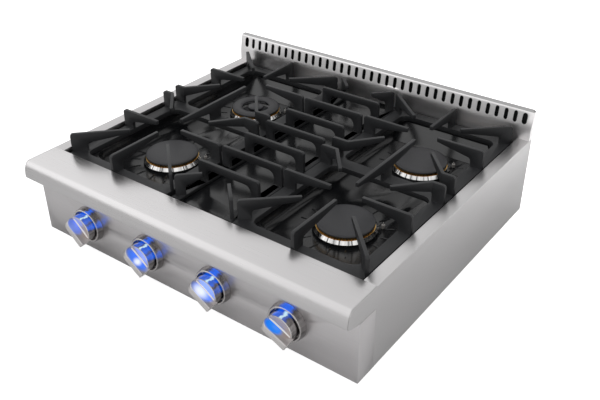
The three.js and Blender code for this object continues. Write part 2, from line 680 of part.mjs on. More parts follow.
function middleGrate() {
  const parts = [];
  for (const side of [-1, 1]) {
    const x = [side * GRATE_MIDDLE_X, side * (GRATE_MIDDLE_X - RUNNER_WIDTH)].sort((a, b) => a - b);
    const [y0, y1] = [GRATE_FRONT_Y + RUNNER_END, GRATE_BACK_Y];
    parts.push(box(...x, y0, y1, GRATE_FOOT, GRATE_FOOT + RUNNER_HEIGHT));
    for (const [edge, out] of [[GRATE_FRONT_Y + BRACE_FRONT_INSET, 1], [GRATE_BACK_Y - BRACE_BACK_INSET, -1]]) {
      const root = [side * (GRATE_MIDDLE_X - BRACE_ROOT), edge];
      parts.push(finger(root, [root[0] - side * BRACE_REACH, edge + out * BRACE_REACH], ARCH_POST));
    }
  }
  for (let i = 0; i < ARCH_COUNT; i += 1) {
    const y = MIDDLE_Y + (i - (ARCH_COUNT - 1) / 2) * ARCH_PITCH;
    parts.push(prismY(archSection(), y - PLATE / 2, y + PLATE / 2));
  }
  return join(parts);
}

// ---------------------------------------------------------------- burners
function burnerBase(burner) {
  const floor = WELL_FLOOR;
  const lip = floor + BASE_FLANGE;
  const throat = BASE_MOUTH_RADIUS - BASE_WALL;
  const neck = BASE_BOTTOM + BASE_NECK_HEIGHT;
  const bowl = neck + BASE_BOWL_HEIGHT;
  const profile = [
    [throat, BASE_BOTTOM], [BASE_MOUTH_RADIUS, BASE_BOTTOM], [BASE_MOUTH_RADIUS, neck],
    [BASE_NECK_RADIUS, bowl], [BASE_NECK_RADIUS, floor], [BASE_FLANGE_RADIUS, floor],
    [BASE_FLANGE_RADIUS, lip], [BASE_NECK_RADIUS - BASE_WALL, lip],
    [BASE_NECK_RADIUS - BASE_WALL, bowl + BASE_WALL], [throat, neck + BASE_WALL], [throat, BASE_BOTTOM],
  ];
  return solid(turned(profile, 24).translate(burner.x, burner.y, 0));
}

function burnerHead(burner) {
  const bottom = HEAD_BOTTOM;
  const shoulder = bottom + HEAD_HEIGHT;
  const bore = HEAD_BORE;
  const profile = [
    [bore, bottom], [HEAD_RADIUS - 1, bottom], [HEAD_RADIUS, bottom + 1], [HEAD_RADIUS, bottom + HEAD_EDGE],
    [PORT_RADIUS + 0.6, shoulder], [PORT_RADIUS, shoulder], [PORT_RADIUS, PORT_TOP],
    [bore, PORT_TOP], [bore, bottom],
  ];
  return solid(turned(profile).translate(burner.x, burner.y, 0));
}

function burnerCap(burner) {
  const bottom = CAP_BOTTOM;
  const profile = [
    [0, bottom], [CAP_RADIUS - CAP_CHAMFER / 2, bottom], [CAP_RADIUS, bottom + CAP_CHAMFER / 2],
    [CAP_RADIUS, bottom + CAP_EDGE - CAP_CHAMFER / 2], [CAP_RADIUS - CAP_CHAMFER, bottom + CAP_EDGE],
    [CAP_RADIUS * CAP_CROWN, CAP_TOP - CAP_CROWN], [0, CAP_TOP],
  ];
  return solid(turned(profile).translate(burner.x, burner.y, 0));
}

// The rear-left burner is a ring with a separate simmer burner inside it.
function ringCap(burner) {
  const bottom = CAP_BOTTOM;
  const profile = [
    [RING_CAP_BORE, bottom], [CAP_RADIUS - CAP_CHAMFER / 2, bottom], [CAP_RADIUS, bottom + CAP_CHAMFER / 2],
    [CAP_RADIUS, bottom + CAP_EDGE - CAP_CHAMFER / 2], [CAP_RADIUS - CAP_CHAMFER, bottom + CAP_EDGE],
    [CAP_RADIUS - RING_CAP_SLOPE, CAP_TOP], [RING_CAP_BORE + CAP_CHAMFER * 2, CAP_TOP],
    [RING_CAP_BORE, CAP_TOP - CAP_CHAMFER], [RING_CAP_BORE, bottom],
  ];
  return solid(turned(profile).translate(burner.x, burner.y, 0));
}

function simmerBurner(burner) {
  const rim = SIMMER_CAP_RADIUS;
  const rest = BASE_NECK_RADIUS - 1;
  const seat = HEAD_BOTTOM;
  const under = CAP_TOP - SIMMER_CAP_HEIGHT;
  const profile = [
    [0, seat], [rest, seat], [rest, seat + SIMMER_PLATE], [rim - SIMMER_NECK, seat + SIMMER_PLATE],
    [rim - SIMMER_NECK, under], [rim, under], [rim, CAP_TOP - CAP_CHAMFER],
    [rim - CAP_CHAMFER, CAP_TOP - CAP_CHAMFER / 2], [0, CAP_TOP],
  ];
  return solid(turned(profile, 24).translate(burner.x, burner.y, 0));
}

function igniterOffset() {
  const angle = THREE.MathUtils.degToRad(IGNITER_ANGLE);
  return [Math.cos(angle) * IGNITER_OFFSET, Math.sin(angle) * IGNITER_OFFSET];
}

function igniter(burner) {
  const foot = WELL_FLOOR - IGNITER_SHANK;
  const [dx, dy] = igniterOffset();
  const profile = [
    [0, foot], [IGNITER_RADIUS, foot], [IGNITER_RADIUS, IGNITER_TOP - IGNITER_TIP - 1],
    [IGNITER_TIP_RADIUS, IGNITER_TOP - IGNITER_TIP], [IGNITER_TIP_RADIUS, IGNITER_TOP], [0, IGNITER_TOP],
  ];
  return solid(turned(profile, FINE_STEPS).translate(burner.x + dx, burner.y + dy, 0));
}

// ---------------------------------------------------------------- controls
function bezel(x) {
  const profile = [
    [STEM_HOLE_RADIUS, 0], [BEZEL_RADIUS, 0], [BEZEL_RIM_RADIUS + BEZEL_EDGE / 2, BEZEL_REACH - BEZEL_EDGE],
    [BEZEL_RIM_RADIUS - BEZEL_EDGE / 2, BEZEL_REACH], [BEZEL_BORE + BEZEL_EDGE, BEZEL_REACH],
    [BEZEL_BORE, BEZEL_REACH - BEZEL_EDGE],
    [BEZEL_BORE, BEZEL_FLOOR], [STEM_HOLE_RADIUS, BEZEL_FLOOR], [STEM_HOLE_RADIUS, 0],
  ];
  return solid(turnedOut(profile).translate(x, 0, KNOB_HEIGHT));
}

// Round shaft with one flat, from reach h0 to h1 in front of the panel.
function flattedShaft(radius, flat, h0, h1) {
  const shape = new THREE.Shape();
  const half = Math.acos(flat / radius);
  shape.absarc(0, 0, radius, half, Math.PI * 2 - half);
  const geometry = extruded(shape, h1 - h0, { curveSegments: FINE_STEPS }).rotateX(Math.PI / 2);
  return solid(geometry.translate(0, -h0, 0));
}

function knob(x, turn) {
  const skirt = solid(turnedOut([
    [0, SKIRT_BACK], [SKIRT_RADIUS, SKIRT_BACK], [SKIRT_RADIUS, SKIRT_FACE - SKIRT_EDGE],
    [SKIRT_RADIUS - SKIRT_EDGE, SKIRT_FACE], [SKIRT_RADIUS - SKIRT_RIM, SKIRT_FACE], [0, SKIRT_FACE - SKIRT_DISH],
  ]));
  const nose = GRIP_INSET - SKIRT_RADIUS;
  const root = GRIP_ROOT - SKIRT_FACE;
  const grip = new THREE.Shape();
  grip.moveTo(nose, root);
  grip.lineTo(nose, -GRIP_REACH + GRIP_NOSE_ROUND);
  grip.quadraticCurveTo(nose, -GRIP_REACH, nose + GRIP_NOSE_ROUND, -GRIP_REACH);
  grip.lineTo(GRIP_TAIL_LENGTH - GRIP_EDGE, -GRIP_REACH);
  grip.lineTo(GRIP_TAIL_LENGTH, -GRIP_REACH + GRIP_EDGE);
  grip.lineTo(GRIP_TAIL_LENGTH, root);
  const bar = prismZ(grip, -GRIP_WIDTH / 2, GRIP_WIDTH / 2);
  const bore = flattedShaft(STEM_RADIUS + STEM_FIT, STEM_FLAT + STEM_FIT, 0, KNOB_BORE_DEPTH + SKIRT_BACK);
  return place(join([skirt, bar]).subtract(bore), x, turn);
}

function place(body, x, turn) {
  const turned = geometryOf(body).rotateY(THREE.MathUtils.degToRad(-turn));
  return solid(turned.translate(x, 0, KNOB_HEIGHT));
}

function stem(x, turn) {
  const shaft = flattedShaft(STEM_RADIUS, STEM_FLAT, -VALVE_FRONT - PLUG_LENGTH, KNOB_BORE_DEPTH + SKIRT_BACK - SEAT_GAP);
  return place(shaft, x, turn);
}

function valvePlug(x, turn) {
  const bore = flattedShaft(STEM_RADIUS + STEM_FIT, STEM_FLAT + STEM_FIT, -VALVE_FRONT - PLUG_LENGTH - OVERRUN, 0);
  const shell = solid(turnedOut([
    [0, -VALVE_FRONT - PLUG_LENGTH], [PLUG_RADIUS, -VALVE_FRONT - PLUG_LENGTH],
    [PLUG_RADIUS, -VALVE_FRONT - PLUG_EDGE], [PLUG_RADIUS - PLUG_EDGE, -VALVE_FRONT], [0, -VALVE_FRONT],
  ], SMALL_STEPS));
  return place(shell.subtract(bore), x, turn);
}

function valveBody(x) {
  const collar = solid(turnedOut([
    [0, -VALVE_BODY_Y - OVERRUN], [VALVE_COLLAR_RADIUS, -VALVE_BODY_Y - OVERRUN],
    [VALVE_COLLAR_RADIUS, -VALVE_FRONT], [0, -VALVE_FRONT],
  ], SMALL_STEPS).translate(x, 0, KNOB_HEIGHT));
  const body = box(x - VALVE_BODY_WIDTH / 2, x + VALVE_BODY_WIDTH / 2, VALVE_BODY_Y, VALVE_BODY_Y + VALVE_BODY_LENGTH,
    KNOB_HEIGHT - VALVE_BODY_HEIGHT / 2, KNOB_HEIGHT + VALVE_BODY_HEIGHT / 2);
  const seat = solid(turnedOut([
    [0, -VALVE_BODY_Y - PLUG_SEAT_DEPTH], [PLUG_RADIUS + SEAT_GAP, -VALVE_BODY_Y - PLUG_SEAT_DEPTH],
    [PLUG_RADIUS + SEAT_GAP, -VALVE_FRONT + OVERRUN], [0, -VALVE_FRONT + OVERRUN],
  ], SMALL_STEPS).translate(x, 0, KNOB_HEIGHT));
  return join([collar, body]).subtract(seat);
}

// ---------------------------------------------------------------- gas train
function roundPath(points, radius, sides, steps) {
  const curve = new THREE.CatmullRomCurve3(points.map((p) => new THREE.Vector3(...p)), false, 'catmullrom', 0.35);
  const section = new THREE.Shape().absarc(0, 0, radius, 0, Math.PI * 2);
  const options = { steps, extrudePath: curve, bevelEnabled: false, curveSegments: sides };
  return solid(new THREE.ExtrudeGeometry(section, options));
}

function manifoldPipe() {
  const pipe = new THREE.CylinderGeometry(MANIFOLD_RADIUS, MANIFOLD_RADIUS, MANIFOLD_HALF_LENGTH * 2, SMALL_STEPS);
  const bore = new THREE.CylinderGeometry(MANIFOLD_BORE, MANIFOLD_BORE, MANIFOLD_HALF_LENGTH * 2, SMALL_STEPS);
  pipe.rotateZ(Math.PI / 2).translate(0, MANIFOLD_Y, KNOB_HEIGHT);
  bore.rotateZ(Math.PI / 2).translate(MANIFOLD_END, MANIFOLD_Y, KNOB_HEIGHT);
  return solid(pipe).subtract(solid(bore));
}

function feedPipe() {
  const turnIn = MANIFOLD_HALF_LENGTH + SEAT_GAP;
  return roundPath([
    [turnIn, MANIFOLD_Y, KNOB_HEIGHT], [turnIn + FEED_STUB, MANIFOLD_Y, KNOB_HEIGHT],
    [FEED_X, MANIFOLD_Y + FEED_BEND, KNOB_HEIGHT], [FEED_X, MANIFOLD_Y + FEED_RISE, KNOB_HEIGHT],
    [FEED_X, REGULATOR_Y - FEED_TAIL, KNOB_HEIGHT],
    [FEED_X, REGULATOR_Y - REGULATOR_RADIUS - SEAT_GAP, KNOB_HEIGHT],
  ], FEED_RADIUS, FEED_SIDES, FEED_STEPS);
}

function regulator() {
  const half = REGULATOR_HEIGHT / 2;
  const body = turned([
    [0, KNOB_HEIGHT - half], [REGULATOR_RADIUS - REGULATOR_CUP, KNOB_HEIGHT - half],
    [REGULATOR_RADIUS - REGULATOR_CUP, KNOB_HEIGHT - REGULATOR_BAND * 2], [REGULATOR_RADIUS, KNOB_HEIGHT - REGULATOR_BAND],
    [REGULATOR_RADIUS, KNOB_HEIGHT + REGULATOR_BAND * 2],
    [REGULATOR_RADIUS - REGULATOR_SHOULDER, KNOB_HEIGHT + half - REGULATOR_SHOULDER],
    [REGULATOR_CUP, KNOB_HEIGHT + half], [0, KNOB_HEIGHT + half],
  ], SMALL_STEPS).translate(FEED_X, REGULATOR_Y, 0);
  const spigot = turnedOut([
    [0, -CASE_DEPTH], [INLET_RADIUS, -CASE_DEPTH], [INLET_RADIUS, -REGULATOR_Y], [0, -REGULATOR_Y],
  ], SMALL_STEPS).translate(FEED_X, 0, KNOB_HEIGHT);
  const nose = box(FEED_X - REGULATOR_NOSE, FEED_X + REGULATOR_NOSE, REGULATOR_Y - REGULATOR_RADIUS, REGULATOR_Y,
    KNOB_HEIGHT - REGULATOR_NOSE, KNOB_HEIGHT + REGULATOR_BAND * 2);
  const bore = turnedOut([
    [0, -CASE_DEPTH - OVERRUN], [INLET_BORE, -CASE_DEPTH - OVERRUN],
    [INLET_BORE, INLET_BORE_DEPTH - CASE_DEPTH], [0, INLET_BORE_DEPTH - CASE_DEPTH],
  ], SMALL_STEPS).translate(FEED_X, 0, KNOB_HEIGHT);
  const foot = box(FEED_X - REGULATOR_FOOT, FEED_X + REGULATOR_FOOT,
    REGULATOR_Y - REGULATOR_FOOT, REGULATOR_Y + REGULATOR_FOOT, PAN_TOP, KNOB_HEIGHT - REGULATOR_FOOT);
  return join([solid(body), solid(spigot), nose, foot]).subtract(solid(bore));
}

function manifoldBracket(side) {
  const x = side * BRACKET_X;
  const top = KNOB_HEIGHT - MANIFOLD_RADIUS - SEAT_GAP;
  const right = [
    [BRACKET_FOOT, PAN_TOP], [BRACKET_FOOT, PAN_TOP + BRACKET_SHEET], [BRACKET_WEB, PAN_TOP + BRACKET_SHEET],
    [BRACKET_WEB, top - BRACKET_SHEET], [BRACKET_HEAD, top - BRACKET_SHEET], [BRACKET_HEAD, top],
  ];
  const left = right.map(([y, z]) => [-y, z]).reverse();
  const section = polygon([...right, ...left].map(([y, z]) => [MANIFOLD_Y + y, z]));
  return prismX(section, x - BRACKET_WIDTH / 2, x + BRACKET_WIDTH / 2);
}

function supplyTube(burner) {
  const x = KNOB_XS[burner.knob];
  const outletY = VALVE_BODY_Y + VALVE_BODY_LENGTH / 2;
  const outletZ = KNOB_HEIGHT + VALVE_BODY_HEIGHT / 2 + SEAT_GAP;
  const jetY = burner.y - JET_RADIUS + 1;
  const lane = burner.y > MIDDLE_Y ? Math.sign(x) * (Math.abs(x) + TUBE_SHIFT) : x;
  const run = roundPath([
    [x, outletY, outletZ], [x, outletY, outletZ + TUBE_RISE], [x, outletY + TUBE_BEND, TUBE_HEIGHT + TUBE_BEND_RISE],
    [lane, MANIFOLD_Y + TUBE_START, TUBE_HEIGHT], [lane, (MANIFOLD_Y + jetY) / 2, TUBE_HEIGHT],
    [burner.x, jetY - TUBE_END, TUBE_HEIGHT], [burner.x, jetY, TUBE_HEIGHT],
  ], TUBE_RADIUS, TUBE_SIDES, TUBE_STEPS);
  const jet = solid(turned([
    [0, TUBE_HEIGHT - JET_HEIGHT / 2], [JET_RADIUS, TUBE_HEIGHT - JET_HEIGHT / 2],
    [JET_RADIUS, TUBE_HEIGHT + TUBE_RADIUS], [BASE_MOUTH_RADIUS, BASE_BOTTOM - SEAT_GAP - JET_FLANGE],
    [BASE_MOUTH_RADIUS, BASE_BOTTOM - SEAT_GAP], [0, BASE_BOTTOM - SEAT_GAP],
  ], SMALL_STEPS).translate(burner.x, burner.y, 0));
  return join([run, jet]);
}

function sparkModule() {
  const body = box(-SPARK_LENGTH / 2, SPARK_LENGTH / 2, MIDDLE_Y - SPARK_DEPTH / 2,
    MIDDLE_Y + SPARK_DEPTH / 2, PAN_TOP, PAN_TOP + SPARK_HEIGHT);
  const terminals = [];
  for (const step of [-1.5, -0.5, 0.5, 1.5]) {
    const x = step * SPARK_LENGTH / 5;
    terminals.push(box(x - TERMINAL, x + TERMINAL, MIDDLE_Y - TERMINAL, MIDDLE_Y + TERMINAL,
      PAN_TOP + SPARK_HEIGHT - OVERRUN, PAN_TOP + SPARK_HEIGHT + TERMINAL * 2));
  }
  return join([body, ...terminals]);
}

// ---------------------------------------------------------------- assembly
add('side_panel_left', sidePanel(-1), stainless);
add('side_panel_right', sidePanel(1), stainless);
add('bullnose', bullnose(), stainless);
add('front_panel', frontPanel(), stainless);
add('bottom_pan', bottomPan(), galvanised);
add('rear_panel', rearPanel(), galvanised);
add('backguard', backguard(), stainless);
add('spill_tray', spillTray(), enamel);
add('tray_shelf_left', trayShelf(-1), galvanised);
add('tray_shelf_right', trayShelf(1), galvanised);
add('grate_left', sideGrate(-1), castIron);
add('grate_centre', middleGrate(), castIron);
add('grate_right', sideGrate(1), castIron);

for (const burner of BURNERS) {
  add(`burner_base_${burner.name}`, burnerBase(burner), aluminium);
  add(`burner_head_${burner.name}`, burnerHead(burner), polishedSteel);
  const ring = burner.name === 'rear_left';
  add(`burner_cap_${burner.name}`, ring ? ringCap(burner) : burnerCap(burner), capEnamel);
  if (ring) add('simmer_burner_rear_left', simmerBurner(burner), capEnamel);
  add(`igniter_${burner.name}`, igniter(burner), ceramic);
  add(`supply_tube_${burner.name}`, supplyTube(burner), aluminium);
}

KNOB_XS.forEach((x, i) => {
  const turn = KNOB_TURNS[i];
  add(`knob_bezel_${i + 1}`, bezel(x), stainless);
  add(`knob_${i + 1}`, knob(x, turn), stainless);
  add(`valve_stem_${i + 1}`, stem(x, turn), brass);
  add(`valve_plug_${i + 1}`, valvePlug(x, turn), brass);
  add(`gas_valve_${i + 1}`, valveBody(x), brass);
});

add('gas_manifold', manifoldPipe(), galvanised);
add('feed_pipe', feedPipe(), galvanised);
add('manifold_bracket_left', manifoldBracket(-1), galvanised);
add('manifold_bracket_right', manifoldBracket(1), galvanised);
add('gas_regulator', regulator(), aluminium);
add('spark_module', sparkModule(), plastic);

// The origin lies on the base, midway between the knobs' fronts and the back.
group.position.y = -(KNOB_FRONT_Y + CASE_DEPTH) / 2;
group.updateMatrixWorld(true);

export default group;
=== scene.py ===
"""The looks of a gas rangetop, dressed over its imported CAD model.

Every piece sits where the model says. Sheet metal, castings and enamelled parts are softened copies of the
model's nodes, the turned pieces are made again with fine steps, and Geometry Nodes lay out what repeats round
a burner. Sizes in the classes are millimetres; meshes are in metres.
"""

from __future__ import annotations

import json
import logging
import math
from dataclasses import dataclass, field
from enum import Enum, IntEnum
from typing import Any, Callable, Iterable, Sequence

import bmesh
import bpy
from mathutils import Matrix, Vector

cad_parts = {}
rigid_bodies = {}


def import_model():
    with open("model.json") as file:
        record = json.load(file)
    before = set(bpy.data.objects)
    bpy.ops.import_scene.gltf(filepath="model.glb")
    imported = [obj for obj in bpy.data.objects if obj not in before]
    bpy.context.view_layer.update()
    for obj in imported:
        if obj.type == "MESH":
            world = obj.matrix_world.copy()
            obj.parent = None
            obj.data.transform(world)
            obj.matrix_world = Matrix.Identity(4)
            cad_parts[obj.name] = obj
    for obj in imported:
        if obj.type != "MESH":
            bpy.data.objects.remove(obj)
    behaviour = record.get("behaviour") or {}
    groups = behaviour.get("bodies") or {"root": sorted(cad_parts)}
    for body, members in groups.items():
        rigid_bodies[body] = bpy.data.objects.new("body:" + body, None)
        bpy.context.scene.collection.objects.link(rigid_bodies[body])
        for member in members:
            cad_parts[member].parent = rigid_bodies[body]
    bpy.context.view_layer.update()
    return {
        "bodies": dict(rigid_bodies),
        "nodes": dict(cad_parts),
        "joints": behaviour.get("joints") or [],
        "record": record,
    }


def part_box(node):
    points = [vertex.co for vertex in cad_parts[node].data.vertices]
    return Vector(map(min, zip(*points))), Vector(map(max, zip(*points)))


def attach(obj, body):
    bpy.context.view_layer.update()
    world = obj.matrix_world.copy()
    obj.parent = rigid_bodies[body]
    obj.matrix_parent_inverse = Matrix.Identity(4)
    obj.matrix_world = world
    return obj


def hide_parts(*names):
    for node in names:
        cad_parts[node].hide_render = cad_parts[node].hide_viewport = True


LOG = logging.getLogger("rangetop")
MM = 0.001
SHEET = 1.2
MERGE_DISTANCE = 0.01 * MM
FLAT_ANGLE = math.radians(0.7)
CRISP_ANGLE = math.radians(32)
TURNED_STEPS = 96
TURNED_EDGE_ANGLE = 20.0

Colour = tuple[float, float, float]
Point = tuple[float, float, float]
Profile = Sequence[tuple[float, float]]

# The burners' middles lie this far to either side, and before and behind this line across the tray, in metres.
BURNER_ACROSS = 0.215
BURNER_BACK = 0.136
BURNER_MIDDLE = 0.04605
BURNERS = ("front_left", "front_right", "rear_right", "rear_left")
DUAL_BURNER = "rear_left"

WHITE: Colour = (1.0, 1.0, 1.0)
BLACK: Colour = (0.0, 0.0, 0.0)


class Axis(Enum):
    """The direction that a turned piece or a brushed grain follows."""

    ACROSS = 0
    BACK = 1
    UP = 2


class GuardSlot(IntEnum):
    """The material slots of the back guard."""

    OUTSIDE = 0
    VENT_SHADE = 1
    TOP_EDGE = 2


class HeadSlot(IntEnum):
    """The material slots of a burner's head."""

    RING = 0
    PORT_BAND = 1


class BezelSlot(IntEnum):
    """The material slots of a control's bezel."""

    FLANK = 0
    RIM = 1
    CUP = 2


class KnobSlot(IntEnum):
    """The material slots of a knob."""

    FLANK = 0
    RIM = 1
    FACE = 2
    LIT_FLAT = 3
    GRIP = 4


def shade(colour: Colour, share: float) -> Colour:
    """Returns a colour made darker or lighter by a share, and no lighter than white."""
    return tuple(min(part * share, 1.0) for part in colour)


# ------------------------------------------------------------------------------------------- shader maths


class Value:
    """One shader value, with Python's own operators on it."""

    def __init__(self, nodes: "ShaderNodes", socket: bpy.types.NodeSocket) -> None:
        """Wraps a socket.

        Args:
            nodes: the tree that new Math nodes go into.
            socket: the output that holds the value.
        """
        self.nodes = nodes
        self.socket = socket

    def _math(self, operation: str, *operands: Any) -> "Value":
        """Adds one Math node.

        Args:
            operation: Blender's name of the operation.
            operands: values, sockets or numbers, in the node's order.

        Returns:
            The node's result.
        """
        inputs = dict(enumerate(operands))
        return self.nodes.value("ShaderNodeMath", {"operation": operation}, inputs)

    def __add__(self, other: Any) -> "Value":
        """Returns the sum."""
        return self._math("ADD", self, other)

    __radd__ = __add__

    def __sub__(self, other: Any) -> "Value":
        """Returns this less the other."""
        return self._math("SUBTRACT", self, other)

    def __rsub__(self, other: Any) -> "Value":
        """Returns the other less this."""
        return self._math("SUBTRACT", other, self)

    def __mul__(self, other: Any) -> "Value":
        """Returns the product."""
        return self._math("MULTIPLY", self, other)

    __rmul__ = __mul__

    def __truediv__(self, other: Any) -> "Value":
        """Returns this over the other."""
        return self._math("DIVIDE", self, other)

    def __rtruediv__(self, other: Any) -> "Value":
        """Returns the other over this."""
        return self._math("DIVIDE", other, self)

    def absolute(self) -> "Value":
        """Returns the size without the sign."""
        return self._math("ABSOLUTE", self)

    def root(self) -> "Value":
        """Returns the square root."""
        return self._math("SQRT", self)

    def angle_over(self, other: "Value") -> "Value":
        """Returns the angle whose tangent is this over the other, in degrees."""
        return self._math("ARCTAN2", self, other) * math.degrees(1.0)

    def between(self, low: float, high: float, soft: float) -> "Value":
        """Makes a mask of a range.

        Args:
            low: the value where the mask is half on.
            high: the value where it is half off again.
            soft: the width of each of its two edges.

        Returns:
            1 inside the range and 0 outside it.
        """
        return self.above(low, soft) * (1 - self.above(high, soft))

    def pulse(self, width: float, soft: float) -> "Value":
        """Makes a mask that comes on once in every whole number.

        Args:
            width: how long it stays on, as a share of one.
            soft: the width of its edges.

        Returns:
            1 round each whole number and 0 between.
        """
        away = (self - self._math("ROUND", self)).absolute()
        return 1 - away.above(width / 2, soft)

    def above(self, edge: float, soft: float) -> "Value":
        """Makes a soft step.

        Args:
            edge: the value where the step is half up.
            soft: the width of the step.

        Returns:
            0 below the edge and 1 above it.
        """
        settings = {"interpolation_type": "SMOOTHSTEP", "clamp": True}
        inputs = {0: self, 1: edge - soft / 2, 2: edge + soft / 2, 3: 0.0, 4: 1.0}
        return self.nodes.value("ShaderNodeMapRange", settings, inputs)


class ShaderNodes:
    """A material's node tree, with one method that adds any node."""

    def __init__(self, name: str) -> None:
        """Makes the material.

        Args:
            name: the finish's name.
        """
        self.material = bpy.data.materials.new(name)
        self.material.use_nodes = True
        self.tree = self.material.node_tree
        self.tree.nodes.clear()
        self.surface = self.node("ShaderNodeOutputMaterial")

    def node(self, kind: str, settings: dict[str, Any] | None = None,
             inputs: dict[Any, Any] | None = None) -> bpy.types.Node:
        """Adds a node.

        Args:
            kind: the node's type.
            settings: its own settings, set before its sockets.
            inputs: a value, a Value or an output socket for each of its input sockets.

        Returns:
            The new node.
        """
        made = self.tree.nodes.new(kind)
        for key, setting in (settings or {}).items():
            setattr(made, key, setting)
        for key, given in (inputs or {}).items():
            socket = made.inputs[key]
            source = given.socket if isinstance(given, Value) else given
            if isinstance(source, bpy.types.NodeSocket):
                self.tree.links.new(source, socket)
            elif isinstance(source, tuple) and len(source) == 3 and socket.type == "RGBA":
                socket.default_value = (*source, 1.0)
            else:
                socket.default_value = source
        return made

    def value(self, kind: str, settings: dict[str, Any] | None = None,
              inputs: dict[Any, Any] | None = None, output: Any = 0) -> Value:
        """Adds a node and wraps one of its outputs.

        Args:
            kind: the node's type.
            settings: its own settings.
            inputs: what its sockets take.
            output: the output's name or place.

        Returns:
            The output as a value.
        """
        return Value(self, self.node(kind, settings, inputs).outputs[output])

    def place(self, scale: Point = (1.0, 1.0, 1.0), centre: Point = (0.0, 0.0, 0.0),
              turn: Point = (0.0, 0.0, 0.0)) -> bpy.types.NodeSocket:
        """Gives the piece's own coordinates.

        Args:
            scale: how much a pattern is squeezed along each axis.
            centre: the point that becomes the origin.
            turn: the turn that is taken out, in radians.

        Returns:
            The coordinates, in metres where nothing is squeezed.
        """
        own = self.node("ShaderNodeTexCoord").outputs["Object"]
        moved = self.node("ShaderNodeMapping", {"vector_type": "TEXTURE"},
                          {"Vector": own, "Location": centre, "Rotation": turn}).outputs[0]
        return self.node("ShaderNodeMapping", {}, {"Vector": moved, "Scale": scale}).outputs[0]

    def split(self, vector: bpy.types.NodeSocket) -> tuple[Value, Value, Value]:
        """Splits coordinates into their three values."""
        parts = self.node("ShaderNodeSeparateXYZ", {}, {0: vector})
        return Value(self, parts.outputs[0]), Value(self, parts.outputs[1]), Value(self, parts.outputs[2])

    def noise(self, vector: bpy.types.NodeSocket, scale: float, detail: float = 2.0) -> Value:
        """Adds smooth noise round 0.

        Args:
            vector: the coordinates.
            scale: the number of spots in a metre.
            detail: how many finer layers it has.

        Returns:
            The noise, from about -0.5 to 0.5.
        """
        return self.value("ShaderNodeTexNoise", {}, {"Vector": vector, "Scale": scale, "Detail": detail}) - 0.5

    def streaks(self, along: Value, scale: float, detail: float) -> Value:
        """Adds smooth noise round 0 that follows one value alone.

        Args:
            along: the value.
            scale: the number of streaks in one of its units.
            detail: how many finer layers it has.

        Returns:
            The noise, from about -0.5 to 0.5.
        """
        inputs = {"W": along, "Scale": scale, "Detail": detail}
        return self.value("ShaderNodeTexNoise", {"noise_dimensions": "1D"}, inputs) - 0.5

    def seen_by(self, ray: str) -> Value:
        """Tells whether a ray is of this kind.

        Args:
            ray: the name of the kind, as the light path has it.

        Returns:
            1 for a ray of the kind and 0 for any other.
        """
        return Value(self, self.node("ShaderNodeLightPath").outputs[ray])

    def mix(self, factor: Any, low: Any, high: Any) -> bpy.types.NodeSocket:
        """Mixes two colours.

        Args:
            factor: 0 gives the first and 1 the second.
            low: the first colour.
            high: the second colour.

        Returns:
            The mixed colour.
        """
        made = self.node("ShaderNodeMix", {"data_type": "RGBA"}, {0: factor, 6: low, 7: high})
        return made.outputs[2]

    def bump(self, height: Value, strength: float, distance: float) -> bpy.types.NodeSocket:
        """Turns a height into a normal.

        Args:
            height: the height, as a share of the distance.
            strength: how much of it shows, from 0 to 1.
            distance: the height of 1, in metres.

        Returns:
            The normal.
        """
        made = self.node("ShaderNodeBump", {}, {"Strength": strength, "Distance": distance, "Height": height})
        return made.outputs[0]

    def finish(self, inputs: dict[str, Any]) -> bpy.types.Material:
        """Ends the tree in a Principled shader.

        Args:
            inputs: what the shader's sockets take.

        Returns:
            The finished material.
        """
        shader = self.node("ShaderNodeBsdfPrincipled", {}, inputs)
        self.tree.links.new(shader.outputs[0], self.surface.inputs["Surface"])
        return self.material


# ------------------------------------------------------------------------------------------- finishes


@dataclass(frozen=True)
class BrushedSteel:
    """Stainless sheet with a fine straight grain."""

    name: str
    colour: Colour = (0.62, 0.612, 0.61)
    roughness: float = 0.33
    grain: Axis = Axis.ACROSS
    depth: float = 0.1
    streak: float = 0.05
    lines: float = 1400.0
    length: float = 9.0
    fine_tone: float = 1.4
    broad_tone: float = 0.3
    fine_dullness: float = 0.16
    broad_dullness: float = 0.06

    def material(self) -> bpy.types.Material:
        """Builds the finish.

        Returns:
            The material.
        """
        nodes = ShaderNodes(self.name)
        squeeze = [self.lines] * 3
        squeeze[self.grain.value] = self.length
        fine = nodes.noise(nodes.place(tuple(squeeze)), 1.0, 3.0)
        broad = nodes.noise(nodes.place(), 3.0, 1.0)
        tone = fine * self.fine_tone + broad * self.broad_tone + 0.5
        return nodes.finish({
            "Base Color": nodes.mix(tone, shade(self.colour, 1 - self.streak), shade(self.colour, 1 + self.streak)),
            "Metallic": 1.0,
            "Roughness": fine * self.fine_dullness + broad * self.broad_dullness + self.roughness,
            "Normal": nodes.bump(fine, self.depth, 0.02 * MM),
        })


@dataclass(frozen=True)
class Casting:
    """Enamelled cast iron with a fine sandy skin."""

    name: str
    colour: Colour = (0.011, 0.0113, 0.0122)
    roughness: float = 0.5
    grit: float = 0.3
    shine: float = 0.4
    cloudiness: float = 1.5

    def material(self) -> bpy.types.Material:
        """Builds the finish.

        Returns:
            The material.
        """
        nodes = ShaderNodes(self.name)
        sand = nodes.noise(nodes.place(), 1100.0, 3.0)
        cloud = nodes.noise(nodes.place(), 28.0, 2.0)
        return nodes.finish({
            "Base Color": nodes.mix(cloud + 0.5, self.colour, shade(self.colour, self.cloudiness)),
            "Roughness": sand * 0.2 + cloud * 0.12 + self.roughness,
            "Specular IOR Level": self.shine,
            "Normal": nodes.bump(sand, self.grit, 0.12 * MM),
        })


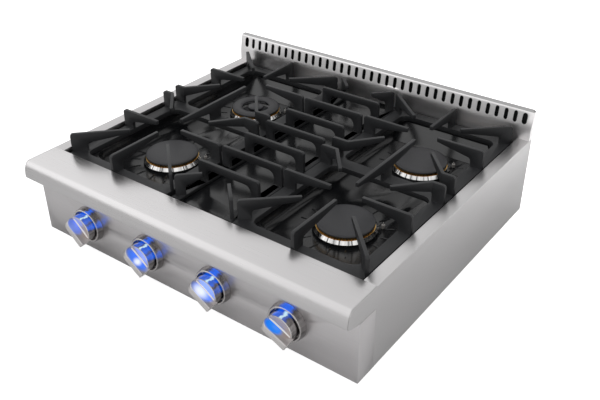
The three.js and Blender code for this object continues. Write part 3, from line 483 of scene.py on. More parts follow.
@dataclass(frozen=True)
class Porcelain:
    """Glossy black vitreous enamel on pressed steel."""

    name: str
    colour: Colour = (0.005, 0.0052, 0.0058)
    roughness: float = 0.2
    shine: float = 0.36

    def material(self) -> bpy.types.Material:
        """Builds the finish.

        Returns:
            The material.
        """
        nodes = ShaderNodes(self.name)
        peel = nodes.noise(nodes.place(), 160.0, 1.0)
        slow = nodes.noise(nodes.place(), 14.0, 1.0)
        return nodes.finish({
            "Base Color": self.colour,
            "Roughness": slow * 0.05 + self.roughness,
            "Specular IOR Level": self.shine,
            "Normal": nodes.bump(peel + slow * 3.0, 0.12, 0.05 * MM),
        })


@dataclass(frozen=True)
class PlainMetal:
    """Bare or plated metal with a soft, slightly uneven surface."""

    name: str
    colour: Colour
    roughness: float = 0.2
    unevenness: float = 0.08
    scale: float = 90.0
    patch_shade: float = 0.82

    def material(self) -> bpy.types.Material:
        """Builds the finish.

        Returns:
            The material.
        """
        nodes = ShaderNodes(self.name)
        patch = nodes.noise(nodes.place(), self.scale, 3.0)
        return nodes.finish({
            "Base Color": nodes.mix(patch + 0.5, shade(self.colour, self.patch_shade), self.colour),
            "Metallic": 1.0,
            "Roughness": patch * self.unevenness * 2 + self.roughness,
            "Normal": nodes.bump(patch, 0.05, 0.05 * MM),
        })


@dataclass(frozen=True)
class SpunRing:
    """The polished ring of a burner, with painted dark reflections streaked along its cone and dark notches painted on
    it as shade.
    """

    name: str
    colour: Colour = (0.84, 0.83, 0.82)
    roughness: float = 0.16
    dark_reflection_share: float = 0.34
    notches: int = 16
    notch_width: float = 0.09
    notch_shade: Colour = (0.03, 0.03, 0.03)

    def material(self) -> bpy.types.Material:
        """Builds the finish, folded so that one pattern serves all four burners.

        Returns:
            The material.
        """
        nodes = ShaderNodes(self.name)
        across, back, _ = nodes.split(nodes.place())
        east = across.absolute() - BURNER_ACROSS
        north = (back - BURNER_MIDDLE).absolute() - BURNER_BACK
        degrees = north.angle_over(east)
        # Painted light: the streaks darken the polished metal as painted dark reflections, and the notches are painted
        # near black as painted shade.
        broad = nodes.streaks(degrees, 0.11, 1.0)
        notch = (degrees * (self.notches / 360.0)).pulse(self.notch_width, 0.05)
        bare = nodes.mix(broad * 1.7 + 0.8, shade(self.colour, self.dark_reflection_share), self.colour)
        return nodes.finish({
            "Base Color": nodes.mix(notch, bare, self.notch_shade),
            "Metallic": 1.0,
            "Roughness": broad * 0.08 + self.roughness,
        })


@dataclass(frozen=True)
class Moulding:
    """Plain non-metal: ceramic or moulded plastic."""

    name: str
    colour: Colour
    roughness: float = 0.4

    def material(self) -> bpy.types.Material:
        """Builds the finish.

        Returns:
            The material.
        """
        nodes = ShaderNodes(self.name)
        grain = nodes.noise(nodes.place(), 900.0, 2.0)
        return nodes.finish({
            "Base Color": nodes.mix(grain + 0.5, shade(self.colour, 0.9), self.colour),
            "Roughness": grain * 0.1 + self.roughness,
            "Normal": nodes.bump(grain, 0.08, 0.05 * MM),
        })


@dataclass(frozen=True)
class Lobe:
    """A stretch of painted light round a turned piece, in degrees from its right-hand side."""

    middle: float
    half: float
    strength: float


@dataclass(frozen=True)
class LitSteel:
    """Turned steel round a control, its base colour painted dark as dark reflections, with the blue light of its ring
    lamp painted on it as tinted colour and glow.
    """

    name: str
    centre: Point
    # The colour is set dark, as painted dark reflection. The lobes and the core are painted light: the base colour is
    # tinted blue under the lobes, and the surface glows blue there and white at the core.
    colour: Colour = (0.27, 0.258, 0.256)
    roughness: float = 0.24
    lobes: tuple[Lobe, ...] = ()
    core: Lobe = Lobe(70.0, 6.0, 0.0)
    near: float = 0.0
    far: float = 60.0
    blue: Colour = (0.01, 0.14, 0.9)
    spark: Colour = (0.66, 0.93, 1.0)
    painted_blue_base: Colour = (0.1, 0.15, 0.42)
    waver: float = 24.0
    waver_scale: Point = (90.0, 160.0, 90.0)
    turned_lines: Point = (30.0, 3000.0, 30.0)
    glow: float = 0.75

    def material(self) -> bpy.types.Material:
        """Builds the finish: streaked steel, with wavering stretches of painted blue light and one painted white
        highlight.

        Returns:
            The material.
        """
        nodes = ShaderNodes(self.name)
        across, back, up = nodes.split(nodes.place(centre=self.centre))
        degrees = up.angle_over(across)
        ring = nodes.noise(nodes.place(self.turned_lines, self.centre), 1.0, 2.0)
        streaks = nodes.streaks(degrees, 0.09, 3.0)
        waver = nodes.noise(nodes.place(self.waver_scale, self.centre), 1.0, 1.0) * self.waver
        depth = (back * (-1 / MM)).between(self.near, self.far, 2.0)
        light: Any = 0.0
        for lobe in self.lobes:
            light = light + self._stretch(degrees + waver, lobe)
        core = self._stretch(degrees + waver, self.core) * depth
        steel = nodes.mix(streaks * 1.6 + 0.45, shade(self.colour, 0.5), shade(self.colour, 1.6))
        # Painted light: a blue tint in the base colour, and a blue and white glow.
        blue = nodes.mix((light + streaks * light) * depth, BLACK, self.blue)
        return nodes.finish({
            "Base Color": nodes.mix(light * depth, steel, self.painted_blue_base),
            "Metallic": 1.0,
            "Roughness": ring * 0.12 + self.roughness,
            "Normal": nodes.bump(ring, 0.12, 0.02 * MM),
            "Emission Color": nodes.mix(core, blue, self.spark),
            "Emission Strength": self.glow,
        })

    @staticmethod
    def _stretch(degrees: Value, lobe: Lobe) -> Value:
        """Makes the mask of one stretch of light.

        Args:
            degrees: the angle round the piece.
            lobe: the stretch.

        Returns:
            Its strength at its middle, falling softly to 0.
        """
        return (1 - (degrees - lobe.middle).absolute().above(lobe.half, lobe.half * 1.3)) * lobe.strength


@dataclass(frozen=True)
class Glow:
    """An oval of painted blue light on a flat of a knob, with a painted white highlight at its heart, in millimetres
    along the grip and away from it.
    """

    middle: tuple[float, float] = (0.0, 0.0)
    size: tuple[float, float] = (20.0, 10.0)
    strength: float = 0.0
    blue: Colour = (0.03, 0.16, 0.75)
    heart: tuple[float, float] = (0.0, 36.0)
    heart_size: tuple[float, float] = (8.0, 10.0)
    heart_strength: float = 0.0
    tint: Colour = (0.3, 0.37, 0.64)


@dataclass(frozen=True)
class LitFace:
    """A flat of a knob, with a soft oval of painted blue light on part of it."""

    name: str
    centre: Point
    turn: float
    glow: Glow
    away: Axis = Axis.BACK
    colour: Colour = (0.68, 0.645, 0.635)
    metallic: float = 1.0
    roughness: float = 0.3
    brushed_lines: Point = (40.0, 2500.0, 2500.0)
    glow_strength: float = 0.8

    def material(self) -> bpy.types.Material:
        """Builds the finish: brushed metal under a painted blue oval of light, tinted in its base colour and glowing,
        with a paler painted highlight at its heart.

        Returns:
            The material.
        """
        nodes = ShaderNodes(self.name)
        spin = (0.0, self.turn, 0.0)
        along, back, up = nodes.split(nodes.place(centre=self.centre, turn=spin))
        grain = nodes.noise(nodes.place(self.brushed_lines, self.centre, spin), 1.0, 2.0)
        length = along * (1 / MM)
        out = back * (-1 / MM) if self.away is Axis.BACK else up * (1 / MM)
        oval = self._away(length, out, self.glow.middle, self.glow.size)
        heart = self._away(length, out, self.glow.heart, self.glow.heart_size)
        # Painted light: the oval tints the base colour and glows blue, and its heart glows white.
        mask = (1 - oval.above(0.95, 0.55)) * self.glow.strength
        white = (1 - heart.above(0.8, 1.2)) * self.glow.heart_strength
        metal = nodes.mix(grain + 0.5, shade(self.colour, 0.85), self.colour)
        return nodes.finish({
            "Base Color": nodes.mix(mask, metal, self.glow.tint),
            "Metallic": self.metallic,
            "Roughness": grain * 0.1 + self.roughness,
            "Normal": nodes.bump(grain, 0.1, 0.02 * MM),
            "Emission Color": nodes.mix(mask, BLACK, nodes.mix(white, self.glow.blue, WHITE)),
            "Emission Strength": self.glow_strength,
        })

    @staticmethod
    def _away(length: Value, out: Value, middle: tuple[float, float], size: tuple[float, float]) -> Value:
        """Measures how far a point lies from an oval's middle.

        Args:
            length: the place along the grip, in millimetres.
            out: the place away from it.
            middle: the oval's middle.
            size: its two half-lengths.

        Returns:
            0 at the middle and 1 on the oval.
        """
        along, over = (length - middle[0]) / size[0], (out - middle[1]) / size[1]
        return (along * along + over * over).root()


# ------------------------------------------------------------------------------------------- mesh tools


@dataclass
class Workshop:
    """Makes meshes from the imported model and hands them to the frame."""

    frame: dict[str, Any]
    body_of: dict[str, str] = field(init=False)
    slot_of: dict[str, str] = field(init=False)

    def __post_init__(self) -> None:
        """Reads which body carries each node, and its material slot."""
        bodies = self.frame["record"]["behaviour"]["bodies"]
        self.body_of = {node: body for body, nodes in bodies.items() for node in nodes}
        slots = self.frame["record"]["subparts"]
        self.slot_of = {entry["node"]: entry["material_slot"] for entry in slots}

    def link(self, name: str, mesh: bpy.types.Mesh) -> bpy.types.Object:
        """Puts a mesh in the scene.

        Args:
            name: the piece's name.
            mesh: its mesh.

        Returns:
            The new piece.
        """
        obj = bpy.data.objects.new(name, mesh)
        bpy.context.scene.collection.objects.link(obj)
        return obj

    def finished(self, name: str, work: bmesh.types.BMesh) -> bpy.types.Object:
        """Puts what was built face by face in the scene, with its faces turned outwards.

        Args:
            name: the piece's name.
            work: its faces, which are let go of.

        Returns:
            The new piece.
        """
        bmesh.ops.recalc_face_normals(work, faces=work.faces)
        mesh = bpy.data.meshes.new(name)
        work.to_mesh(mesh)
        work.free()
        return self.link(name, mesh)

    def copy_of(self, node: str, name: str) -> bpy.types.Object:
        """Copies a node with its corners joined and its flats whole.

        Args:
            node: the node to copy.
            name: the new piece's name.

        Returns:
            The new piece, which the frame doesn't know yet.
        """
        work = bmesh.new()
        work.from_mesh(self.frame["nodes"][node].data)
        bmesh.ops.remove_doubles(work, verts=work.verts, dist=MERGE_DISTANCE)
        bmesh.ops.dissolve_limit(work, angle_limit=FLAT_ANGLE, verts=work.verts, edges=work.edges)
        mesh = bpy.data.meshes.new(name)
        work.to_mesh(mesh)
        work.free()
        return self.link(name, mesh)

    def soften(self, obj: bpy.types.Object, width: float, steps: int = 2, angle: float = 30.0) -> None:
        """Rounds the hard edges of a piece.

        Args:
            obj: the piece.
            width: the width of the rounding, in millimetres.
            steps: its number of facets.
            angle: the least angle of an edge that is rounded, in degrees.
        """
        bevel = obj.modifiers.new("edges", "BEVEL")
        bevel.width = width * MM
        bevel.segments = steps
        bevel.limit_method = "ANGLE"
        bevel.angle_limit = math.radians(angle)
        bevel.use_clamp_overlap = True
        bevel.harden_normals = False
        self.settle(obj)

    def settle(self, obj: bpy.types.Object) -> None:
        """Turns a piece's modifiers into plain mesh, smooth but for its crisp edges.

        Args:
            obj: the piece.
        """
        bpy.context.view_layer.update()
        graph = bpy.context.evaluated_depsgraph_get()
        mesh = bpy.data.meshes.new_from_object(obj.evaluated_get(graph), depsgraph=graph)
        obj.modifiers.clear()
        obj.data = mesh
        self.smooth(mesh)

    @staticmethod
    def smooth(mesh: bpy.types.Mesh, crisp: float = CRISP_ANGLE) -> None:
        """Shades a mesh smoothly.

        Args:
            mesh: the mesh.
            crisp: the least angle of an edge that keeps its crease, in radians.
        """
        mesh.shade_smooth()
        mesh.set_sharp_from_angle(angle=crisp)

    def dress(self, obj: bpy.types.Object, materials: Iterable[bpy.types.Material], nodes: Sequence[str],
              replace: bool = True) -> None:
        """Gives a piece its finish and its place in the frame.

        Args:
            obj: the piece.
            materials: its materials, in slot order.
            nodes: the nodes that it stands for or lies on, which ride on one body.
            replace: whether the nodes are hidden.
        """
        for material in materials:
            obj.data.materials.append(material)
        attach(obj, self.body_of[nodes[0]])
        if replace:
            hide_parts(*nodes)
        LOG.info("%s: %d faces", obj.name, len(obj.data.polygons))

    def softened(self, node: str, material: bpy.types.Material, width: float, steps: int = 2,
                 angle: float = 30.0) -> bpy.types.Object:
        """Stands a softened, dressed copy in for a node.

        Args:
            node: the node.
            material: its finish.
            width: the width of the edges' rounding, in millimetres.
            steps: the rounding's number of facets.
            angle: the least angle of an edge that is rounded, in degrees.

        Returns:
            The copy.
        """
        obj = self.copy_of(node, f"{node}.look")
        self.soften(obj, width, steps, angle)
        self.dress(obj, [material], [node])
        return obj

    @staticmethod
    def pick(obj: bpy.types.Object, choose: Callable[[Vector, Vector], int]) -> None:
        """Sets each face's material slot from where it lies and faces.

        Args:
            obj: the piece.
            choose: gives the slot from a face's centre and normal.
        """
        for face in obj.data.polygons:
            face.material_index = choose(Vector(face.center), Vector(face.normal))

    def plain(self, node: str, material: bpy.types.Material) -> None:
        """Gives a node itself a finish, where its shape is right as it is.

        Args:
            node: the node.
            material: its finish.
        """
        slots = self.frame["nodes"][node].data.materials
        slots.clear()
        slots.append(material)

    def turned(self, name: str, profile: Profile, centre: Point, axis: Axis,
               bands: Callable[[float, float], int] | None = None, rounding: float = 0.0) -> bpy.types.Object:
        """Makes a turned piece.

        Args:
            name: the piece's name.
            profile: (radius, reach) points in millimetres, closed or from axis to axis.
            centre: the point that the reach is measured from, in metres.
            axis: UP for a reach that rises, BACK for one that comes out of the front.
            bands: gives the material slot of a face from its radius and reach.
            rounding: the width of the rounding of its edges, in millimetres, where it has one.

        Returns:
            The new piece.
        """
        work = bmesh.new()
        rings = []
        for step in range(TURNED_STEPS):
            angle = 2 * math.pi * step / TURNED_STEPS
            ring = []
            for radius, reach in profile:
                flat = (radius * math.cos(angle), radius * math.sin(angle))
                local = (flat[0], flat[1], reach) if axis is Axis.UP else (flat[0], -reach, flat[1])
                ring.append(work.verts.new(Vector(centre) + Vector(local) * MM))
            rings.append(ring)
        closed = profile[0] != profile[-1] and profile[0][0] > 0
        last = len(profile) if closed else len(profile) - 1
        for step, ring in enumerate(rings):
            following = rings[(step + 1) % TURNED_STEPS]
            for i in range(last):
                j = (i + 1) % len(profile)
                work.faces.new((ring[i], ring[j], following[j], following[i]))
        bmesh.ops.remove_doubles(work, verts=work.verts, dist=MERGE_DISTANCE)
        bmesh.ops.dissolve_degenerate(work, edges=work.edges, dist=MERGE_DISTANCE)
        obj = self.finished(name, work)
        if rounding > 0:
            self.soften(obj, rounding, 2, TURNED_EDGE_ANGLE)
        else:
            self.smooth(obj.data)
        if bands:
            self.paint(obj, centre, axis, bands)
        return obj

    @staticmethod
    def paint(obj: bpy.types.Object, centre: Point, axis: Axis, bands: Callable[[float, float], int]) -> None:
        """Sets each face's material slot from its place on a turned piece.

        Args:
            obj: the piece.
            centre: the point that reach is measured from, in metres.
            axis: the piece's axis.
            bands: gives the slot from (radius, reach) in millimetres.
        """
        for face in obj.data.polygons:
            local = (Vector(face.center) - Vector(centre)) / MM
            reach = local.z if axis is Axis.UP else -local.y
            radius = math.hypot(local.x, local.y if axis is Axis.UP else local.z)
            face.material_index = bands(radius, reach)


def centre_of(node: str) -> Point:
    """Returns the middle of a node's box, in metres."""
    low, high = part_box(node)
    return tuple((a + b) / 2 for a, b in zip(low, high))


# ------------------------------------------------------------------------------------------- what repeats


@dataclass
class RadialRow:
    """A Geometry Nodes tree that sets small bars round a vertical axis, in millimetres and radians."""

    name: str
    count: int
    radius: float
    size: Point
    height: float
    first: float = 0.0

    def build(self, shop: Workshop, centre: Point, material: bpy.types.Material) -> bpy.types.Object:
        """Lays the bars out.

        Args:
            shop: the mesh tools.
            centre: the axis and the level that the height is measured from, in metres.
            material: the bars' finish.

        Returns:
            The bars, as one plain mesh.
        """
        tree = bpy.data.node_groups.new(self.name, "GeometryNodeTree")
        kinds = {"Count": "NodeSocketInt", "Radius": "NodeSocketFloat", "Size": "NodeSocketVector",
                 "Centre": "NodeSocketVector", "First": "NodeSocketFloat"}
        sockets = {label: tree.interface.new_socket(label, in_out="INPUT", socket_type=kind)
                   for label, kind in kinds.items()}
        self._lay(tree, material)
        obj = shop.link(self.name, bpy.data.meshes.new(self.name))
        modifier = obj.modifiers.new("bars", "NODES")
        modifier.node_group = tree
        level = (centre[0], centre[1], centre[2] + self.height * MM)
        values = {"Count": self.count, "Radius": self.radius * MM, "Size": tuple(s * MM for s in self.size),
                  "Centre": level, "First": self.first}
        for label, amount in values.items():
            modifier[sockets[label].identifier] = amount
        shop.settle(obj)
        return obj

    def _lay(self, tree: bpy.types.NodeTree, material: bpy.types.Material) -> None:
        """Fills the tree: points round the axis, a bar on each that faces outwards, and the finish.

        Args:
            tree: the tree, which has its inputs.
            material: the bars' finish.
        """
        tree.interface.new_socket("Bars", in_out="OUTPUT", socket_type="NodeSocketGeometry")
        new = tree.nodes.new
        link = tree.links.new
        given = new("NodeGroupInput").outputs
        points = new("GeometryNodeMeshLine")
        link(given["Count"], points.inputs["Count"])
        points.inputs["Offset"].default_value = (0.0, 0.0, 0.0)
        index = new("GeometryNodeInputIndex")
        pitch = self._math(tree, "DIVIDE", 2 * math.pi, given["Count"])
        angle = self._math(tree, "ADD", self._math(tree, "MULTIPLY", index.outputs[0], pitch), given["First"])
        east = self._math(tree, "MULTIPLY", self._math(tree, "COSINE", angle), given["Radius"])
        north = self._math(tree, "MULTIPLY", self._math(tree, "SINE", angle), given["Radius"])
        spot = new("ShaderNodeCombineXYZ")
        link(east, spot.inputs[0])
        link(north, spot.inputs[1])
        shift = new("ShaderNodeVectorMath")
        link(spot.outputs[0], shift.inputs[0])
        link(given["Centre"], shift.inputs[1])
        put = new("GeometryNodeSetPosition")
        link(points.outputs[0], put.inputs["Geometry"])
        link(shift.outputs[0], put.inputs["Position"])
        bar = new("GeometryNodeMeshCube")
        link(given["Size"], bar.inputs["Size"])
        facing = new("ShaderNodeCombineXYZ")
        link(angle, facing.inputs[2])
        spread = new("GeometryNodeInstanceOnPoints")
        link(put.outputs[0], spread.inputs["Points"])
        link(bar.outputs["Mesh"], spread.inputs["Instance"])
        link(facing.outputs[0], spread.inputs["Rotation"])
        real = new("GeometryNodeRealizeInstances")
        link(spread.outputs[0], real.inputs[0])
        skin = new("GeometryNodeSetMaterial")
        link(real.outputs[0], skin.inputs["Geometry"])
        skin.inputs["Material"].default_value = material
        link(skin.outputs[0], new("NodeGroupOutput").inputs[0])

    @staticmethod
    def _math(tree: bpy.types.NodeTree, operation: str, *operands: Any) -> bpy.types.NodeSocket:
        """Adds a Math node to the tree.

        Args:
            tree: the tree.
            operation: Blender's name of the operation.
            operands: numbers or output sockets.

        Returns:
            The node's result.
        """
        node = tree.nodes.new("ShaderNodeMath")
        node.operation = operation
        for socket, operand in zip(node.inputs, operands):
            if isinstance(operand, bpy.types.NodeSocket):
                tree.links.new(operand, socket)
            else:
                socket.default_value = operand
        return node.outputs[0]


# ------------------------------------------------------------------------------------------- sub-assemblies


@dataclass
class Casing:
    """The steel box: sides, front, rolled nose, back guard, and the plain sheets behind them."""

    shop: Workshop
    # One stainless steel in lit and shaded copies: the sides are painted darker than the top and front, the guard much
    # lighter and its top edge darker, as painted light and shade.
    top: BrushedSteel = BrushedSteel("top_steel", (0.665, 0.652, 0.655), 0.3)
    side: BrushedSteel = BrushedSteel("side_steel", (0.59, 0.58, 0.582), 0.36, Axis.BACK)
    front: BrushedSteel = BrushedSteel("front_steel", (0.66, 0.642, 0.648), 0.34)
    guard: BrushedSteel = BrushedSteel("guard_steel", (0.9, 0.885, 0.885), 0.34)
    guard_edge: BrushedSteel = BrushedSteel("guard_edge_steel", (0.4, 0.395, 0.395), 0.4)
    # The faces behind the guard's slots are painted near black, as the shade inside the guard.
    vent_shade: PlainMetal = PlainMetal("vent_inside_shade", (0.05, 0.05, 0.052), 0.6)
    zinc: PlainMetal = PlainMetal("galvanised_sheet", (0.52, 0.54, 0.55), 0.42, 0.12, 40.0)
    fold: float = 0.9
    front_fold: float = 0.5
    slot_edge: float = 0.35
    vent_front: float = 0.9
    vent_back: float = 0.3
    vent_floor: float = 12.0
    lean_height: float = 42.6
    lean_slope: float = 0.18

    def build(self) -> None:
        """Dresses every sheet of the casing."""
        side = self.side.material()
        self.shop.softened("bullnose", self.top.material(), self.fold, 3)
        self.shop.softened("side_panel_left", side, self.fold)
        self.shop.softened("side_panel_right", side, self.fold)
        self.shop.softened("front_panel", self.front.material(), self.front_fold)
        self._guard()
        zinc = self.zinc.material()
        for node in ("bottom_pan", "rear_panel", "tray_shelf_left", "tray_shelf_right"):
            self.shop.plain(node, zinc)

    def _guard(self) -> None:
        """Softens the back guard, with painted shade on the faces behind its slots and a cut edge on top painted
        darker.
        """
        low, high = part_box("backguard")
        sheet = SHEET * MM
        front, back = low[1] + self.vent_front * MM, high[1] - self.vent_back * MM
        floor, end = low[2] + self.vent_floor * MM, high[0] - 0.9 * sheet
        fold = high[2] - self.lean_height * MM

        def choose(centre: Vector, normal: Vector) -> int:
            """Picks a face's slot.

            Args:
                centre: where the face lies, in metres.
                normal: the way that it looks.

            Returns:
                Its slot.
            """
            if normal.z > 0.6 and centre.z > high[2] - 3 * sheet:
                return GuardSlot.TOP_EDGE
            lean = max(0.0, (centre.z - fold) * self.lean_slope)
            if centre.z > floor and abs(centre.x) < end and front + lean < centre.y < back:
                return GuardSlot.VENT_SHADE
            return GuardSlot.OUTSIDE

        guard = self.shop.copy_of("backguard", "backguard.look")
        self.shop.soften(guard, self.slot_edge, 1)
        self.shop.pick(guard, choose)
        self.shop.dress(guard, [self.guard.material(), self.vent_shade.material(), self.guard_edge.material()],
                        ["backguard"])


@dataclass
class SpillTray:
    """The pressed enamel tray, the long rear slopes of its wells and the ribs stamped round each burner."""

    shop: Workshop
    enamel: Porcelain = Porcelain("black_porcelain")
    slope_enamel: Porcelain = Porcelain("well_slope_enamel", shine=0.75)
    edge: float = 0.8
    edge_angle: float = 38.0
    ribs: int = 16
    rib_size: Point = (21.0, 2.2, 1.2)
    rib_radius: float = 77.0
    rib_drop: float = 2.4
    sweep_across: tuple[float, float] = (99.0, 318.0)
    sweep_front: float = 254.5
    sweep_back: float = 304.5
    sweep_floor: float = 120.7
    sweep_rim: float = 149.5
    sweep_power: float = 1.15
    sweep_corner: float = 22.0
    sweep_sheet: float = 0.6
    sweep_steps: tuple[int, int] = (20, 12)

    def build(self) -> None:
        """Dresses the tray, and adds its wells' rear slopes and the ribs."""
        enamel = self.enamel.material()
        self.shop.softened("spill_tray", enamel, self.edge, 2, self.edge_angle)
        slope = self.slope_enamel.material()
        for side, name in ((-1, "left"), (1, "right")):
            self.shop.dress(self._sweep(side, name), [slope], ["spill_tray"], replace=False)
        for burner in BURNERS:
            base = centre_of(f"burner_base_{burner}")
            _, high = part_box(f"burner_base_{burner}")
            row = RadialRow(f"well_ribs_{burner}", self.ribs, self.rib_radius, self.rib_size, -self.rib_drop,
                            math.pi / self.ribs)
            ribs = row.build(self.shop, (base[0], base[1], high[2]), enamel)
            self.shop.dress(ribs, [enamel], ["spill_tray"], replace=False)

    def _sweep(self, side: int, name: str) -> bpy.types.Object:
        """Makes the long slope that carries a well's floor up to its rear rim.

        Args:
            side: -1 for the left well and 1 for the right one.
            name: the well's name.

        Returns:
            The slope, as a closed thin shell.
        """
        steps, columns = self.sweep_steps
        work = bmesh.new()
        upper, under = ([[work.verts.new(self._sweep_point(side, row / steps, column / columns, sunk))
                          for column in range(columns + 1)] for row in range(steps + 1)]
                        for sunk in (0.0, self.sweep_sheet))
        for row in range(steps):
            for column in range(columns):
                for rows in (upper, under):
                    work.faces.new((rows[row][column], rows[row][column + 1], rows[row + 1][column + 1],
                                    rows[row + 1][column]))
            for column in (0, columns):
                work.faces.new((upper[row][column], upper[row + 1][column], under[row + 1][column],
                                under[row][column]))
        for row in (0, steps):
            for column in range(columns):
                work.faces.new((upper[row][column], upper[row][column + 1], under[row][column + 1],
                                under[row][column]))
        slope = self.shop.finished(f"well_slope_{name}", work)
        self.shop.smooth(slope.data)
        return slope

    def _sweep_point(self, side: int, share: float, place: float, sunk: float) -> Vector:
        """Places one corner of a slope.

        Args:
            side: -1 for the left well and 1 for the right one.
            share: how far it lies up the slope, from 0 to 1.
            place: how far it lies across the slope, from 0 to 1.
            sunk: how far under the enamel's face it lies, in millimetres.

        Returns:
            The corner, in metres.
        """
        low, high = self.sweep_across
        inset = self.sweep_corner * (1 - math.sqrt(1 - share * share))
        across = low + inset + (high - low - 2 * inset) * place
        back = self.sweep_front + (self.sweep_back - self.sweep_front) * share
        rise = self.sweep_floor + (self.sweep_rim - self.sweep_floor) * share ** self.sweep_power
        return Vector((side * across, back, rise - sunk)) * MM


@dataclass
class Grates:
    """The three cast grates."""

    shop: Workshop
    iron: Casting = Casting("grate_iron")
    rounding: float = 1.5

    def build(self) -> None:
        """Stands a softened casting in for each grate."""
        iron = self.iron.material()
        for node in ("grate_left", "grate_centre", "grate_right"):
            self.shop.softened(node, iron, self.rounding)


@dataclass
class BurnerFinishes:
    """The materials that the four burners share."""

    ring: bpy.types.Material = field(default_factory=SpunRing("polished_ring").material)
    brass: bpy.types.Material = field(
        default_factory=PlainMetal("port_brass", (0.62, 0.38, 0.12), 0.28, 0.1, 120.0).material)
    # Near-black bars in the gas ports, as painted shade inside the port holes.
    port_shade: bpy.types.Material = field(default_factory=Moulding("port_shadow", (0.006, 0.005, 0.005), 0.8).material)
    cap: bpy.types.Material = field(
        default_factory=Casting("cap_enamel", (0.015, 0.015, 0.0168), 0.42, 0.1, 0.38).material)
    cup: bpy.types.Material = field(
        default_factory=PlainMetal("cast_cup", (0.42, 0.42, 0.43), 0.4, 0.1, 300.0).material)
    ceramic: bpy.types.Material = field(default_factory=Moulding("spark_ceramic", (0.2, 0.19, 0.18), 0.3).material)


@dataclass
class Burner:
    """One sealed burner: cup, polished head with its gas ports, and cap, which is a ring on the dual burner."""

    shop: Workshop
    name: str
    finishes: BurnerFinishes
    ring: bool = False
    ports: int = 60
    port_size: Point = (2.4, 1.5, 2.0)
    head_radius: float = 58.8
    head_height: float = 7.8
    port_radius: float = 53.0
    port_height: float = 4.5
    port_sunk: float = 0.9
    head_bore: float = 40.0
    cap_radius: float = 54.0
    ring_bore: float = 31.0
    simmer_edge: float = 0.8
    crisp_turn: float = math.radians(12)

    def build(self) -> None:
        """Makes the head and the cap, and dresses the cup, the electrode and any simmer burner."""
        self._head()
        self._cap()
        self.shop.plain(f"burner_base_{self.name}", self.finishes.cup)
        self.shop.plain(f"igniter_{self.name}", self.finishes.ceramic)
        if self.ring:
            self.shop.softened(f"simmer_burner_{self.name}", self.finishes.cap, self.simmer_edge, 2, 25.0)

    def _head(self) -> None:
        """Turns the head and sets its gas ports round it, as dark bars of painted shade."""
        node = f"burner_head_{self.name}"
        low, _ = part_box(node)
        middle = centre_of(node)
        centre = (middle[0], middle[1], low[2])
        outer, inner = self.head_radius, self.head_bore
        shoulder = self.head_height
        top = shoulder + self.port_height
        profile = [
            (inner, 0.0), (outer - 0.8, 0.0), (outer, 0.7), (outer, 1.5), (outer - 0.4, 2.0),
            (self.port_radius + 1.4, shoulder), (self.port_radius + 0.5, shoulder + 0.2),
            (self.port_radius, shoulder + 0.3), (self.port_radius, top), (inner, top),
        ]

        def band(radius: float, reach: float) -> int:
            """Returns a face's slot, which its height alone gives."""
            return HeadSlot.PORT_BAND if reach > shoulder else HeadSlot.RING

        head = self.shop.turned(f"{node}.look", profile, centre, Axis.UP, band)
        self.shop.smooth(head.data, self.crisp_turn)
        self.shop.dress(head, [self.finishes.ring, self.finishes.brass], [node])
        row = RadialRow(f"ports_{self.name}", self.ports, self.port_radius - self.port_sunk, self.port_size,
                        shoulder + self.port_height / 2)
        ports = row.build(self.shop, centre, self.finishes.port_shade)
        self.shop.dress(ports, [self.finishes.port_shade], [node], replace=False)

    def _cap(self) -> None:
        """Turns the cap, which is a ring on the dual burner."""
        node = f"burner_cap_{self.name}"
        low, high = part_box(node)
        middle = centre_of(node)
        centre = (middle[0], middle[1], low[2])
        top = (high[2] - low[2]) / MM
        rim = self.cap_radius
        edge = [(rim - 1.5, 0.0), (rim - 0.4, 0.2), (rim, 0.8), (rim - 0.1, top - 3.0), (rim - 0.5, top - 2.1),
                (rim - 1.4, top - 1.3), (rim - 3.0, top - 0.8)]
        if self.ring:
            bore = self.ring_bore
            profile = [(bore, 0.0), *edge, (rim - 9.0, top - 0.1), (bore + 5.0, top), (bore + 1.6, top - 0.8),
                       (bore, top - 2.4)]
        else:
            dome = [(rim * share, top - 0.9 * share * share) for share in (0.85, 0.65, 0.45, 0.25, 0.1)]
            profile = [(0.0, 0.0), *edge, *dome, (0.0, top)]
        cap = self.shop.turned(f"{node}.look", profile, centre, Axis.UP)
        self.shop.dress(cap, [self.finishes.cap], [node])


@dataclass(frozen=True)
class KnobLook:
    """How far one knob is turned, and where the painted blue light and the painted white highlight lie on it."""

    turn: float
    skirt: tuple[Lobe, ...]
    core: Lobe
    bezel: tuple[Lobe, ...]
    side: Glow
    face: Glow


